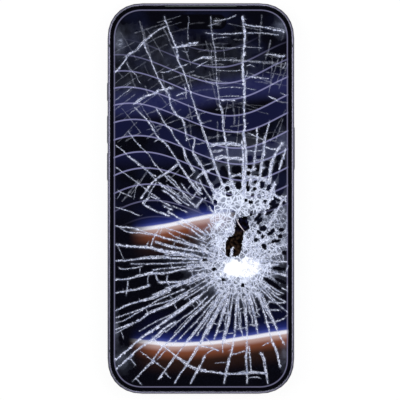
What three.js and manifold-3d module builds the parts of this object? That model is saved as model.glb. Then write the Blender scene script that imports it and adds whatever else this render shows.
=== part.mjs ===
// A slab smartphone with a shattered front glass, lying on its back with the screen up.
// Millimetres. Seen from the front, +X is right and +Y is towards the earpiece. +Z is up.
// A gap is a clearance, bond is a glued or seated joint, and past is how far a cutting tool runs on.
// Inside the phone, heights are measured from the outer face of the back glass.
// The whole phone is then lifted so that its lens rings stand on z = 0.

import * as THREE from 'three';
import { mergeVertices } from 'three/addons/utils/BufferGeometryUtils.js';
import Module from 'manifold-3d';

const wasm = await Module();
wasm.setup();

// Body
const bodyWidth = 71.5;
const bodyLength = 149.6;
const bodyThickness = 8.25;
const cornerReach = 13.5;
const cornerPower = 2.2;
const cornerSteps = 7;
const edgeRadius = 0.8;
const edgeSteps = 2;
const wall = 2.6;
const rimWidth = 0.9;
const edgeGap = 0.15;
const bond = 0.05;
const partGap = 0.1;
const past = 1;

// Front stack, from the outside in
const coverProud = 0.1;
const coverThickness = 0.8;
const coverEdge = 0.22;
const bracketThickness = 0.7;
const bracketWidth = 0.85;
const bracketGap = 0.1;
const ledgeDrop = 0.3;
const midPlateThickness = 0.5;
const panelThickness = 0.45;
const backplateThickness = 0.2;
const displayInset = 2.15;

// Cutout in the display for the front camera and the sensor
const cutoutLength = 19.3;
const cutoutWidth = 5.4;
const cutoutFromTop = 7.15;
const sensorSpacing = 6.2;
const sensorCorner = 0.4;

// Earpiece slit in the edge of the cover glass
const slitLength = 27.7;
const slitWidth = 0.47;
const meshThickness = 0.5;
const meshDrop = 0.2;
const meshCorner = 0.15;

// Back glass
const backGlassThickness = 0.75;
const backGlassEdge = 0.3;

// Camera island, its rings and its lenses
const ringCount = 3;
const ringSpacing = 15.2;
const ringDiameter = 12.8;
const ringProud = 1.4;
const ringWall = 1.3;
const ringSeat = 0.8;
const ringChamfer = 0.25;
const ringSpigot = 0.5;
const lensDiameterGap = 0.1;
const lensThickness = 0.6;
const lensRecess = 0.2;
const islandProud = 1.8;
const islandMargin = 2.2;
const islandFromTop = 6.5;
const islandFromSide = 6.15;
const islandFlange = 0.9;
const islandFlangeThickness = 0.5;
const islandEdge = 0.45;
const cameraBody = 10.6;
const cameraBodyHeight = 4.3;
const cameraCorner = 1.2;
const rearBarrel = { diameter: 7.8, glass: 4.7, flare: 0.7, depth: 0.6, crown: 0.25 };
const flashDiameter = 5;
const flashFlange = 0.7;
const flashFlangeThickness = 0.4;
const flashFromIsland = 5.4;
const roundSteps = 18;

// Buttons
const buttonProud = 0.4;
const buttonHeight = 2.9;
const buttonEdge = 0.22;
const buttonTravel = 0.3;
const slotGap = 0.12;
const slotDepth = 1.3;
const flangeLip = 0.8;
const flangeThickness = 0.45;
const switchHeight = 2.4;
const switchLength = 4.2;
const switchThickness = 0.42;
const domeDiameter = 1.8;
const domeHeight = 0.12;
const domeFlat = 0.75;
const domeFlatHeight = 0.8;
const stripThickness = 0.3;
const stripOverhang = 4.5;
const stripTab = 2.2;
const stripHeight = 2.6;
const actionLength = 7.3;
const actionY = 41.1;
const volumeLength = 10.9;
const volumeUpY = 26.6;
const volumeDownY = 12.3;
const sideLength = 16.6;
const sideY = 19.3;

// Antenna breaks in the band
const breakFromEnd = 16.4;
const breakWidth = 0.9;
const breakDepth = 1.15;

// Charging port, bottom holes and card tray
const portWidth = 8.95;
const portHeight = 3.2;
const portWall = 0.3;
const portGap = 0.08;
const portRecess = 0.25;
const portDepth = 7.6;
const tongueWidth = 6.7;
const tongueThickness = 0.7;
const tongueCorner = 0.2;
const tongueRecess = 0.9;
const portBaseDepth = 1.8;
const speakerHoleCount = 6;
const speakerHoleDiameter = 1.25;
const speakerHoleSpacing = 2.3;
const speakerHoleStart = 8.6;
const micHoleX = -7.4;
const trayX = -15.4;
const trayFaceWidth = 13;
const trayFaceHeight = 2;
const trayFaceDepth = 1.3;
const trayFaceBevel = 0.15;
const trayFaceLap = 0.4;
const trayWidth = 9.9;
const trayShift = -1.3;
const trayThickness = 1.2;
const trayDepth = 15.4;
const trayCorner = 1;
const trayRail = 0.7;
const trayEndBar = 1.4;
const cardDepth = 0.75;
const cardCorner = 0.8;
const ejectHoleDiameter = 0.9;
const ejectHoleShift = 5.2;
const trayGap = 0.14;
const readerWall = 0.25;
const readerGap = 0.3;
const readerStart = 0.8;
const readerBeyondTray = 1.2;
const readerCorner = 0.3;
const readerInnerCorner = 0.2;
const readerPadMargin = 1;
const readerPadStart = 2;

// Inside the rear cavity
const batterySideGap = 3.2;
const batteryToCamera = 4.4;
const batteryToBay = 4.2;
const batteryThickness = 4.2;
const batteryCorner = 1.6;
const batteryBevel = 0.4;
const ribWidth = 0.8;
const ribHeight = 3.2;
const ribGap = 0.5;
const coilDiameter = 43;
const coilHole = 19;
const coilThickness = 0.35;
const coilY = -6;
const boardThickness = 0.8;
const boardDrop = 1.9;
const boardSideGap = 1.3;
const boardBottomGap = 4;
const boardToCamera = 1;
const boardToCutout = 4.7;
const hornFromWall = 5.25;
const hornToCutout = 5.15;
const shieldHeight = 1.6;
const shieldWall = 0.25;
const shieldCorner = 0.8;
const shieldMargin = 1.8;
const shieldGap = 3;
const cpuShieldLength = 17;
const radioShieldSize = [13, 12];
const shieldShift = 3;
const bossDiameter = 3.6;
const bossFromBoardEdge = 3.3;
const hornBossFromSide = 5.2;
const hornBossFromEnd = 4;
const screwHeadDiameter = 2.6;
const screwHeadHeight = 0.5;
const screwShankDiameter = 1.4;
const screwShankLength = 1.9;
const screwHoleGap = 0.1;
const frontCameraBody = 5.4;
const frontCameraDepth = 3;
const frontCameraCorner = 0.6;
const frontBarrel = { diameter: 4, glass: 2, flare: 0.4, depth: 0.4, crown: 0.15 };
const frontBarrelGap = 0.2;
const sensorWidth = 4.6;
const sensorLength = 3.2;
const earpieceSize = [15, 8.6, 2.3];
const earpieceCorner = 0.8;
const earpieceFromWall = 0.9;
const spoutSize = [7.6, 1.2];
const motorSize = [16, 6.2, 3.1];
const motorCorner = 2.4;
const motorShift = 3;
const motorToRib = 1;
const moduleBevel = 0.3;
const speakerSize = [21.6, 22, 4.2];
const speakerCorner = 1.5;
const speakerFromWall = 1.6;
const speakerToBoard = 1.3;
const speakerToWall = 0.5;
const nozzleLap = 1;
const chargeBoardSize = [16, 21, 0.6];
const chargeBoardCorner = 1;
const chargeBoardFromWall = 2.6;
const chargeBossFromSide = 0.4;
const chargeBossFromEnd = 0.6;
const cableWidth = 6;
const cableThickness = 0.2;
const cableClear = 0.02;
// The main cable: its laps on the two boards, and where it slopes down to the coil and up again
const mainLaps = { chargeBoard: 7, logicBoard: 5 };
const mainSlopeDown = { before: 0.5, after: 1 };
const mainSlopeUp = { before: 2.6, after: 0.8 };
const mainToCoil = 0.15;
// The battery's cable, which climbs over the rib to the logic board
const batteryCableX = -10.8;
const batteryCableLap = 3.4;
const batterySlope = { before: 1.6, after: 0.4 };
const batteryCableToRib = 0.2;
// The display's cable, which drops through a slot in the mid plate and folds back on the logic board
const displayCableFromWall = 8.15;
const displayCableFromBoardEdge = 2.2;
const displayLaps = { display: 9, logicBoard: 7 };
const displayBend = { along: 0.8, down: 0.5 };
const displayFold = { along: 1.1, up: 1 };
const displaySlot = { side: 0.5, back: 0.9, front: 1.1 };

// Shattered glass: one blow, radial cracks to the display's edge and rings between them
const impactX = 13.9;
const impactY = -24.8;
const crackMargin = 0.25;
const crackWidth = 0.42;
const crackTipWidth = 0.14;
const crackDepth = 0.5;
const crackTipDepth = 0.22;
const crackStart = 3.5;
const crackSteps = 3;
const crackWander = 0.45;
const crackOvershoot = 0.15;
// Each radial crack: its direction in degrees, its sideways bend, and its share of the way to the edge
const radialCracks = [
  [8, 0.3, 1], [22, -0.4, 1], [34, 0.5, 1], [49, -0.6, 1], [66.7, -1.2, 1], [76.6, -1, 0.62],
  [81.6, 0.6, 0.56], [88.6, 0.7, 1], [96, 0.4, 1], [106.4, -1.5, 1], [113, 0.3, 0.92],
  [117.6, -0.8, 0.68], [123.4, 1.2, 1], [129.5, 0.8, 1], [135.9, -0.5, 1], [141.8, 1, 1],
  [155.3, 1.4, 1], [163.1, -0.9, 1], [171.1, -0.8, 1], [179, 0.6, 1], [187.4, -1, 1],
  [193.7, 0.8, 1], [201.5, 0.9, 1], [210.2, -1, 1], [218.7, 0.9, 1], [221.4, -1, 1],
  [228.5, 0.7, 1], [235.9, -0.6, 1], [242.5, 0.9, 1], [248.8, -0.7, 1], [263.9, 0.6, 1],
  [274.7, -0.5, 1], [284.3, 0.8, 1], [292.2, -0.4, 1], [300.3, 0.6, 1], [321.4, -0.5, 1],
  [341, 0.4, 1],
];
const ringRadii = [9, 14.5, 22.5, 34];
const ringJitter = 0.1;
const ringChanceNear = 0.85;
const ringChanceFar = 0.4;
const ringCrackWidth = 0.7;
const ringCrackDepth = 0.8;
const crackSeed = 7;
// Crushed dish of the blow
const dishX = 16.2;
const dishY = -26.7;
const dishRadius = 5;
const dishStretch = 1.6;
const dishDepth = 0.4;
const dishFloor = { reach: 0.55, depth: 0.8 };
const dishRim = 0.02;
// Outline of the missing glass, measured from the point of the blow
const missingGlass = [
  [0.7, 17.4], [3.6, 18], [4.6, 13.4], [2.4, 11.9], [1.9, 8.9], [1.4, 4.9], [0.1, 2.9], [-1.7, 2.7],
  [-1.3, 6.2], [-2.3, 6.5], [-3, 2.8], [-4.3, 2.7], [-4.4, 7.2], [-3.3, 9.9], [-1.5, 10.6], [-1.1, 13.2],
];

// Derived heights above the back glass's outer face
const coverTop = bodyThickness + coverProud;
const coverBottom = coverTop - coverThickness;
const stackTop = coverBottom - bond;
const ledgeTop = stackTop - bracketThickness - bond;
const wellFloor = ledgeTop - ledgeDrop;
const ceiling = wellFloor - midPlateThickness;
const panelBottom = stackTop - panelThickness;
const backplateTop = panelBottom - bond;
const backSeat = backGlassThickness + bond;
const midHeight = bodyThickness / 2;
const hangFrom = ceiling - partGap;
const boardTop = ceiling - boardDrop;
const boardBottom = boardTop - boardThickness;
const lift = islandProud + ringProud;

// Derived places
const glassInset = rimWidth + edgeGap;
const bracketInset = rimWidth + bracketGap;
const wellInset = bracketInset + bracketWidth;
const cutoutY = bodyLength / 2 - cutoutFromTop;
const islandWidth = ringDiameter + 2 * islandMargin;
const islandLength = (ringCount - 1) * ringSpacing + islandWidth;
const islandX = bodyWidth / 2 - islandFromSide - islandWidth / 2;
const islandY = bodyLength / 2 - islandFromTop - islandLength / 2;
const ringBore = ringDiameter - 2 * ringWall;
const lensDiameter = ringBore + 2 * ringSeat - lensDiameterGap;
const spigotDiameter = ringBore + 2 * ringSpigot;
const cavityX = bodyWidth / 2 - wall;
const cavityY = bodyLength / 2 - wall;
const batteryWidth = 2 * (cavityX - batterySideGap);
const lowestCameraY = islandY - (ringCount - 1) * ringSpacing / 2;
const batteryTop = lowestCameraY - cameraBody / 2 - batteryToCamera;
const chargeBoardLow = -cavityY + chargeBoardFromWall;
const chargeBoardHigh = chargeBoardLow + chargeBoardSize[1];
const speakerLow = -cavityY + speakerFromWall;
const batteryBottom = Math.max(chargeBoardHigh, speakerLow + speakerSize[1]) + batteryToBay;
const boardLeft = -cavityX + boardSideGap;
const boardRight = islandX - cameraBody / 2 - boardToCamera;
const boardLow = batteryTop + boardBottomGap;
const boardHigh = cutoutY - cutoutWidth / 2 - boardToCutout;
const boardHorn = cavityY - hornFromWall;
const hornRight = -cutoutLength / 2 - hornToCutout;
const trayY = -bodyLength / 2;
const portFront = -bodyLength / 2 + portRecess;
const earpieceX = -sensorSpacing;
const earpieceEdge = cavityY - earpieceFromWall;
const readerX = trayX + trayShift;
const readerFront = -cavityY + readerStart;
const readerWidth = trayWidth + 2 * (readerGap + readerWall);
const readerHeight = trayThickness + 2 * (readerGap + readerWall);
const readerDepth = trayFaceDepth + trayDepth - wall - readerStart + readerBeyondTray;
const displayCableX = -cavityX + displayCableFromWall;
const displayCableY = boardHigh - displayCableFromBoardEdge;
const edge = 0.001;

const finishes = {
  band: { color: 0x2c2c3c, metalness: 0.9, roughness: 0.34 },
  coverGlass: { color: 0x9aa4b8, metalness: 0, roughness: 0.12 },
  backGlass: { color: 0x262838, metalness: 0.1, roughness: 0.4 },
  display: { color: 0x0c1030, metalness: 0, roughness: 0.3 },
  steel: { color: 0x9ea1a8, metalness: 0.9, roughness: 0.35 },
  darkPlastic: { color: 0x16171b, metalness: 0, roughness: 0.6 },
  polymer: { color: 0x3c3d4c, metalness: 0, roughness: 0.5 },
  mesh: { color: 0x2f3a34, metalness: 0.6, roughness: 0.5 },
  lens: { color: 0x080a12, metalness: 0, roughness: 0.06 },
  battery: { color: 0x1c1d20, metalness: 0.1, roughness: 0.55 },
  board: { color: 0x14301f, metalness: 0, roughness: 0.5 },
  shield: { color: 0xb6b8bc, metalness: 0.85, roughness: 0.4 },
  copper: { color: 0xa5613c, metalness: 0.8, roughness: 0.4 },
  flex: { color: 0x5c3516, metalness: 0, roughness: 0.5 },
  flash: { color: 0xe8dfc0, metalness: 0, roughness: 0.3 },
};
const materials = {};
for (const [name, finish] of Object.entries(finishes)) {
  materials[name] = new THREE.MeshStandardMaterial(finish);
}

const phone = new THREE.Group();
phone.position.z = lift;

function addPiece(name, body, finish, place = [0, 0, 0], turn = 0) {
  const geometry = body.isBufferGeometry ? body : meshOf(body);
  const piece = new THREE.Mesh(geometry, materials[finish]);
  piece.name = name;
  piece.position.set(...place);
  piece.rotation.z = turn;
  phone.add(piece);
  return piece;
}

// Solids and plain geometry
function solidOf(geometry) {
  const bare = geometry.clone();
  bare.deleteAttribute('normal');
  bare.deleteAttribute('uv');
  const merged = mergeVertices(bare, 1e-5);
  return new wasm.Manifold(new wasm.Mesh({
    numProp: 3,
    vertProperties: new Float32Array(merged.attributes.position.array),
    triVerts: new Uint32Array(merged.index.array),
  }));
}

function meshOf(solid) {
  const result = solid.getMesh();
  const geometry = new THREE.BufferGeometry();
  geometry.setAttribute('position', new THREE.BufferAttribute(result.vertProperties, 3));
  geometry.setIndex(new THREE.BufferAttribute(result.triVerts, 1));
  geometry.computeVertexNormals();
  return geometry;
}

function cut(body, ...tools) {
  return tools.reduce((rest, tool) => rest.subtract(tool), body);
}

function join(body, ...others) {
  return others.reduce((whole, other) => whole.add(other), body);
}

// Outline of the phone moved inwards by an inset: straight sides and superellipse corners
function slabPoints(inset) {
  const reach = cornerReach - inset;
  const straightX = bodyWidth / 2 - cornerReach;
  const straightY = bodyLength / 2 - cornerReach;
  const points = [];
  for (const [signX, signY] of [[1, 1], [-1, 1], [-1, -1], [1, -1]]) {
    for (let step = 0; step <= cornerSteps; step += 1) {
      const swing = (signX * signY > 0 ? step : cornerSteps - step) / cornerSteps * Math.PI / 2;
      const x = reach * Math.abs(Math.cos(swing)) ** (2 / cornerPower);
      const y = reach * Math.abs(Math.sin(swing)) ** (2 / cornerPower);
      points.push(new THREE.Vector2(signX * (straightX + x), signY * (straightY + y)));
    }
  }
  return points;
}

// Closed skin through the phone's outline at several levels, each a height and an inset
function loftSlab(levels) {
  const rings = levels.map(([, inset]) => slabPoints(inset));
  const count = rings[0].length;
  const positions = [];
  rings.forEach((ring, level) => {
    ring.forEach((point) => positions.push(point.x, point.y, levels[level][0]));
  });
  const faces = [];
  for (let level = 0; level + 1 < rings.length; level += 1) {
    for (let step = 0; step < count; step += 1) {
      const next = (step + 1) % count;
      const low = level * count;
      const high = low + count;
      faces.push(low + step, low + next, high + next, low + step, high + next, high + step);
    }
  }
  const last = (rings.length - 1) * count;
  for (const [a, b, c] of THREE.ShapeUtils.triangulateShape(rings[0], [])) {
    faces.push(a, c, b);
  }
  for (const [a, b, c] of THREE.ShapeUtils.triangulateShape(rings[rings.length - 1], [])) {
    faces.push(last + a, last + b, last + c);
  }
  const geometry = new THREE.BufferGeometry();
  geometry.setAttribute('position', new THREE.Float32BufferAttribute(positions, 3));
  geometry.setIndex(faces);
  return geometry;
}

function slab(inset, low, high) {
  return solidOf(loftSlab([[low, inset], [high, inset]]));
}

// Heights and insets of a slab whose edges are rounded below, above or both
function roundedLevels(low, high, inset, lowRadius, highRadius) {
  const swings = Array.from({ length: edgeSteps + 1 }, (_, step) => (step / edgeSteps) * (Math.PI / 2));
  const lower = swings.map((swing) => [
    low + lowRadius * (1 - Math.cos(swing)),
    inset + lowRadius * (1 - Math.sin(swing)),
  ]);
  const upper = swings.map((swing) => [
    high - highRadius * (1 - Math.sin(swing)),
    inset + highRadius * (1 - Math.cos(swing)),
  ]);
  return [
    ...(lowRadius > 0 ? lower : [[low, inset]]),
    ...(highRadius > 0 ? upper : [[high, inset]]),
  ];
}

// Shapes and blocks
// Rectangle with round corners, or a pill where the radius is half its width
function roundedRect(width, height, radius, steps = 4) {
  const points = [];
  for (const [quarter, signX, signY] of [[0, 1, 1], [1, -1, 1], [2, -1, -1], [3, 1, -1]]) {
    for (let step = 0; step <= steps; step += 1) {
      const swing = (quarter + step / steps) * Math.PI / 2;
      const x = signX * (width / 2 - radius) + radius * Math.cos(swing);
      const y = signY * (height / 2 - radius) + radius * Math.sin(swing);
      const point = new THREE.Vector2(x, y);
      if (!points.some((other) => other.distanceTo(point) < edge)) {
        points.push(point);
      }
    }
  }
  return new THREE.Shape(points);
}

function pill(length, width, steps = 4) {
  return roundedRect(length, width, Math.min(length, width) / 2, steps);
}

function polygon(points) {
  return new THREE.Shape(points.map(([x, y]) => new THREE.Vector2(x, y)));
}

// A shape pushed up from one height to another, with the same bevel at both ends
function push(shape, low, high, bevel = 0) {
  const geometry = new THREE.ExtrudeGeometry(shape, {
    depth: high - low - 2 * bevel,
    bevelEnabled: bevel > 0,
    bevelThickness: bevel,
    bevelSize: bevel,
    bevelOffset: -bevel,
    bevelSegments: 2,
  });
  return geometry.translate(0, 0, low + bevel);
}

function block(lowCorner, highCorner) {
  const size = highCorner.map((value, axis) => value - lowCorner[axis]);
  const middle = highCorner.map((value, axis) => (value + lowCorner[axis]) / 2);
  return solidOf(new THREE.BoxGeometry(...size).translate(...middle));
}

function rod(diameter, low, high, segments = 10) {
  const geometry = new THREE.CylinderGeometry(diameter / 2, diameter / 2, high - low, segments);
  return geometry.rotateX(Math.PI / 2).translate(0, 0, (low + high) / 2);
}

// A profile of radii and heights turned about Z, given either way round
function turned(profile, segments = 16) {
  const points = profile.map(([radius, height]) => new THREE.Vector2(radius, height));
  if (THREE.ShapeUtils.area(points) < 0) {
    points.reverse();
  }
  return new THREE.LatheGeometry(points, segments).rotateX(Math.PI / 2);
}

// Turns a shape pushed along Z so that it runs along +X: its own x becomes Y and its y becomes Z
function alongX(geometry) {
  const axes = [new THREE.Vector3(0, 1, 0), new THREE.Vector3(0, 0, 1), new THREE.Vector3(1, 0, 0)];
  return geometry.applyMatrix4(new THREE.Matrix4().makeBasis(...axes));
}

// The same for -Y: its own x stays X and its y becomes Z
function alongY(geometry) {
  const axes = [new THREE.Vector3(1, 0, 0), new THREE.Vector3(0, 0, 1), new THREE.Vector3(0, -1, 0)];
  return geometry.applyMatrix4(new THREE.Matrix4().makeBasis(...axes));
}

// A flat strip of even thickness that follows a path in the YZ plane, across a width in X
function strip(path, width, thickness, centreX) {
  const points = path.map(([y, z]) => new THREE.Vector2(y, z));
  const sides = points.map((point, index) => {
    const before = points[Math.max(index - 1, 0)];
    const after = points[Math.min(index + 1, points.length - 1)];
    const along = after.clone().sub(before).normalize();
    return new THREE.Vector2(-along.y, along.x).multiplyScalar(thickness / 2);
  });
  const upper = points.map((point, index) => point.clone().add(sides[index]));
  const lower = points.map((point, index) => point.clone().sub(sides[index]));
  const shape = new THREE.Shape([...lower, ...upper.reverse()]);
  return alongX(push(shape, -width / 2, width / 2)).translate(centreX, 0, 0);
}

// Buttons: each has a side of the phone, a place along it and a length
const buttons = [
  { name: 'side', side: 1, y: sideY, length: sideLength },
  { name: 'action', side: -1, y: actionY, length: actionLength },
  { name: 'volume_up', side: -1, y: volumeUpY, length: volumeLength },
  { name: 'volume_down', side: -1, y: volumeDownY, length: volumeLength },
];
const flangeStart = slotDepth + bond;
const flangeEnd = flangeStart + flangeThickness;
const domeTip = flangeEnd + buttonTravel + bond / 2;
const switchStart = domeTip + domeHeight;
const switchEnd = switchStart + switchThickness;
const stripStart = switchEnd + bond;
const stripEnd = stripStart + stripThickness;

// Turns what is modelled facing +X from the band's outer face, and sets it at its side and height
function atSide(geometry, { side, y }) {
  const turn = side > 0 ? 0 : Math.PI;
  return geometry.rotateZ(turn).translate(side * bodyWidth / 2, y, midHeight);
}

function buttonCap({ length }) {
  const cap = alongX(push(pill(length, buttonHeight), -flangeEnd, buttonProud, buttonEdge));
  const flangeShape = roundedRect(length + 2 * flangeLip, buttonHeight, buttonEdge, 2);
  const flange = alongX(push(flangeShape, -flangeEnd, -flangeStart));
  return join(solidOf(cap), solidOf(flange));
}

function buttonSlot(button) {
  const slotShape = pill(button.length + 2 * slotGap, buttonHeight + 2 * slotGap);
  const slot = alongX(push(slotShape, -slotDepth - edge, buttonProud + past));
  const pocketLength = button.length + 2 * (flangeLip + slotGap);
  const pocketShape = roundedRect(pocketLength, buttonHeight + 2 * slotGap, buttonEdge, 2);
  const pocket = alongX(push(pocketShape, -wall - edge, -slotDepth));
  return join(solidOf(atSide(slot, button)), solidOf(atSide(pocket, button)));
}

function sideSwitch() {
  const bodyShape = roundedRect(switchLength, switchHeight, buttonEdge, 2);
  const body = alongX(push(bodyShape, -switchEnd, -switchStart));
  const half = domeDiameter / 2;
  const flat = [half * domeFlat, domeHeight * domeFlatHeight];
  const dome = turned([[0, -edge], [half, -edge], flat, [0, domeHeight]], 12);
  dome.rotateY(Math.PI / 2).translate(-switchStart, 0, 0);
  return join(solidOf(body), solidOf(dome));
}

// The spring strip that backs the switches of one side, with a tab against the wall at each end
function switchStrip(low, high) {
  const wallFace = -(wall + bond);
  const shape = polygon([
    [-stripEnd, low], [wallFace, low], [wallFace, low + stripTab], [-stripStart, low + stripTab],
    [-stripStart, high - stripTab], [wallFace, high - stripTab], [wallFace, high], [-stripEnd, high],
  ]);
  return push(shape, -stripHeight / 2, stripHeight / 2);
}

function addButtons() {
  for (const button of buttons) {
    const place = [button.side * bodyWidth / 2, button.y, midHeight];
    const turn = button.side > 0 ? 0 : Math.PI;
    addPiece(`${button.name}_button`, buttonCap(button), 'band', place, turn);
    addPiece(`${button.name}_switch`, sideSwitch(), 'steel', place, turn);
  }
  for (const side of [1, -1]) {
    const own = buttons.filter((button) => button.side === side);
    const low = Math.min(...own.map(({ y, length }) => y - length / 2)) - stripOverhang;
    const high = Math.max(...own.map(({ y, length }) => y + length / 2)) + stripOverhang;
    const middle = (low + high) / 2;
    const strips = switchStrip(low - middle, high - middle);
    const place = [side * bodyWidth / 2, middle, midHeight];
    const name = side > 0 ? 'switch_strip_right' : 'switch_strip_left';
    addPiece(name, strips, 'steel', place, side > 0 ? 0 : Math.PI);
  }
}

// Frame: band, ledges, mid plate, bosses and ribs in one machined piece
const boardBosses = [
  [boardLeft + bossFromBoardEdge, boardLow + bossFromBoardEdge],
  [boardRight - bossFromBoardEdge, boardLow + bossFromBoardEdge],
  [boardLeft + hornBossFromSide, boardHorn - hornBossFromEnd],
];
const chargeBoardTop = midHeight - portHeight / 2 - bond;
const chargeBoardBottom = chargeBoardTop - chargeBoardSize[2];
const chargeBosses = [-1, 1].map((side) => [
  side * (chargeBoardSize[0] / 2 - bossDiameter / 2 - chargeBossFromSide),
  chargeBoardHigh - bossDiameter / 2 - chargeBossFromEnd,
]);

function boss(places, low) {
  const posts = places.map(([x, y]) => {
    const post = solidOf(rod(bossDiameter, low, ceiling + edge).translate(x, y, 0));
    const hole = rod(screwShankDiameter + 2 * screwHoleGap, low - past, low + screwShankLength);
    return cut(post, solidOf(hole.translate(x, y, 0)));
  });
  return join(...posts);
}

function batteryRibs() {
  const low = ceiling - ribHeight;
  const ribAt = (start) => block(
    [-batteryWidth / 2, start, low],
    [batteryWidth / 2, start + ribWidth, ceiling + edge],
  );
  return join(ribAt(batteryTop + ribGap), ribAt(batteryBottom - ribGap - ribWidth));
}

function bandBlank() {
  const levels = roundedLevels(0, bodyThickness, 0, edgeRadius, edgeRadius);
  return cut(
    solidOf(loftSlab(levels)),
    slab(rimWidth, -past, backSeat),
    slab(wall, backSeat - edge, ceiling),
    slab(rimWidth, ledgeTop, bodyThickness + past),
    slab(wellInset, wellFloor, ledgeTop + edge),
  );
}

// Box round an antenna break: the whole width of the band at that place, down to the break's depth
function breakBlock(side, end, width, depth) {
  const y = end * (bodyLength / 2 - breakFromEnd);
  const outer = side * (bodyWidth / 2 + past);
  const inner = side * (bodyWidth / 2 - depth);
  return block(
    [Math.min(outer, inner), y - width / 2, -past],
    [Math.max(outer, inner), y + width / 2, bodyThickness + past],
  );
}

const breakPlaces = [
  { name: 'antenna_break_top_left', side: -1, end: 1 },
  { name: 'antenna_break_top_right', side: 1, end: 1 },
  { name: 'antenna_break_bottom_left', side: -1, end: -1 },
  { name: 'antenna_break_bottom_right', side: 1, end: -1 },
];

function bottomHole(diameter, x) {
  const hole = alongY(rod(diameter, -past, wall + past, 10));
  return solidOf(hole.translate(x, -cavityY, midHeight));
}

// What pierces the bottom wall: the port, the card tray, the speaker's row of holes and the microphone
function bottomCuts() {
  const tools = [];
  const port = pill(portWidth + 2 * portGap, portHeight + 2 * portGap);
  const bottom = -bodyLength / 2;
  tools.push(solidOf(alongY(push(port, -wall - past, past)).translate(0, bottom, midHeight)));
  const face = pill(trayFaceWidth + 2 * trayGap, trayFaceHeight + 2 * trayGap);
  const faceDepth = trayFaceDepth + trayGap;
  tools.push(solidOf(alongY(push(face, -faceDepth, past)).translate(trayX, bottom, midHeight)));
  const passage = roundedRect(trayWidth + 2 * trayGap, trayThickness + 2 * trayGap, buttonEdge);
  const passageTool = alongY(push(passage, -wall - past, edge - faceDepth));
  tools.push(solidOf(passageTool.translate(readerX, bottom, midHeight)));
  tools.push(bottomHole(ejectHoleDiameter, trayX + ejectHoleShift));
  tools.push(bottomHole(speakerHoleDiameter, micHoleX));
  for (let index = 0; index < speakerHoleCount; index += 1) {
    tools.push(bottomHole(speakerHoleDiameter, speakerHoleStart + index * speakerHoleSpacing));
  }
  return tools;
}

// Openings through the mid plate: for the front camera, the earpiece's spout and the display cable
function midPlateCuts() {
  const above = ledgeTop - edge;
  const cameraHole = rod(frontBarrel.diameter + 2 * frontBarrelGap, ceiling - past, above, 16);
  const [spoutWidth, spoutDepth] = spoutSize;
  const spoutSlot = block(
    [earpieceX - spoutWidth / 2 - partGap, earpieceEdge - spoutDepth - partGap, ceiling - past],
    [earpieceX + spoutWidth / 2 + partGap, earpieceEdge + partGap, above],
  );
  const duct = block(
    [earpieceX - spoutWidth / 2, cavityY - past, wellFloor],
    [earpieceX + spoutWidth / 2, bodyLength / 2 - glassInset, ledgeTop + past],
  );
  const cableSlot = block(
    [displayCableX - cableWidth / 2 - displaySlot.side, displayCableY - displaySlot.back, ceiling - past],
    [displayCableX + cableWidth / 2 + displaySlot.side, displayCableY + displaySlot.front, above],
  );
  return [solidOf(cameraHole.translate(sensorSpacing, cutoutY, 0)), spoutSlot, duct, cableSlot];
}

// Pad that carries the card reader under the mid plate
function readerPad() {
  const half = readerWidth / 2 - readerPadMargin;
  const back = readerFront + readerDepth - readerPadMargin;
  return block(
    [readerX - half, readerFront + readerPadStart, midHeight + readerHeight / 2 + bond],
    [readerX + half, back, ceiling + edge],
  );
}

function addFrame() {
  const blank = bandBlank();
  let frame = join(blank, boss(boardBosses, boardTop + bond), boss(chargeBosses, chargeBoardTop + bond));
  frame = join(frame, batteryRibs(), readerPad());
  frame = cut(frame, ...buttons.map(buttonSlot), ...bottomCuts(), ...midPlateCuts());
  for (const { name, side, end } of breakPlaces) {
    addPiece(name, blank.intersect(breakBlock(side, end, breakWidth, breakDepth)), 'polymer');
    frame = cut(frame, breakBlock(side, end, breakWidth + 2 * bond, breakDepth + bond));
  }
  addPiece('frame', frame, 'band');
}

// Back glass, camera island and rear cameras
const ringPlaces = Array.from({ length: ringCount }, (_, index) => (
  islandY + (ringCount - 1) * ringSpacing / 2 - index * ringSpacing
));
const flashX = islandX - islandWidth / 2 - flashFromIsland;
const flashY = (ringPlaces[0] + ringPlaces[1]) / 2;

function islandOutline(grow) {
  return pill(islandWidth + 2 * grow, islandLength + 2 * grow, 5);
}

// A lens barrel from its back to its face: the flare at its mouth, then crowned glass
function barrelProfile({ diameter, glass, flare, depth, crown }, back, face) {
  const outward = Math.sign(face - back);
  const floor = face - outward * depth;
  const radius = glass / 2;
  return [
    [0, back], [diameter / 2, back], [diameter / 2, face], [radius + flare, face], [radius, floor],
    [radius / 2, floor + outward * crown * 3 / 4], [0, floor + outward * crown],
  ];
}

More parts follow.
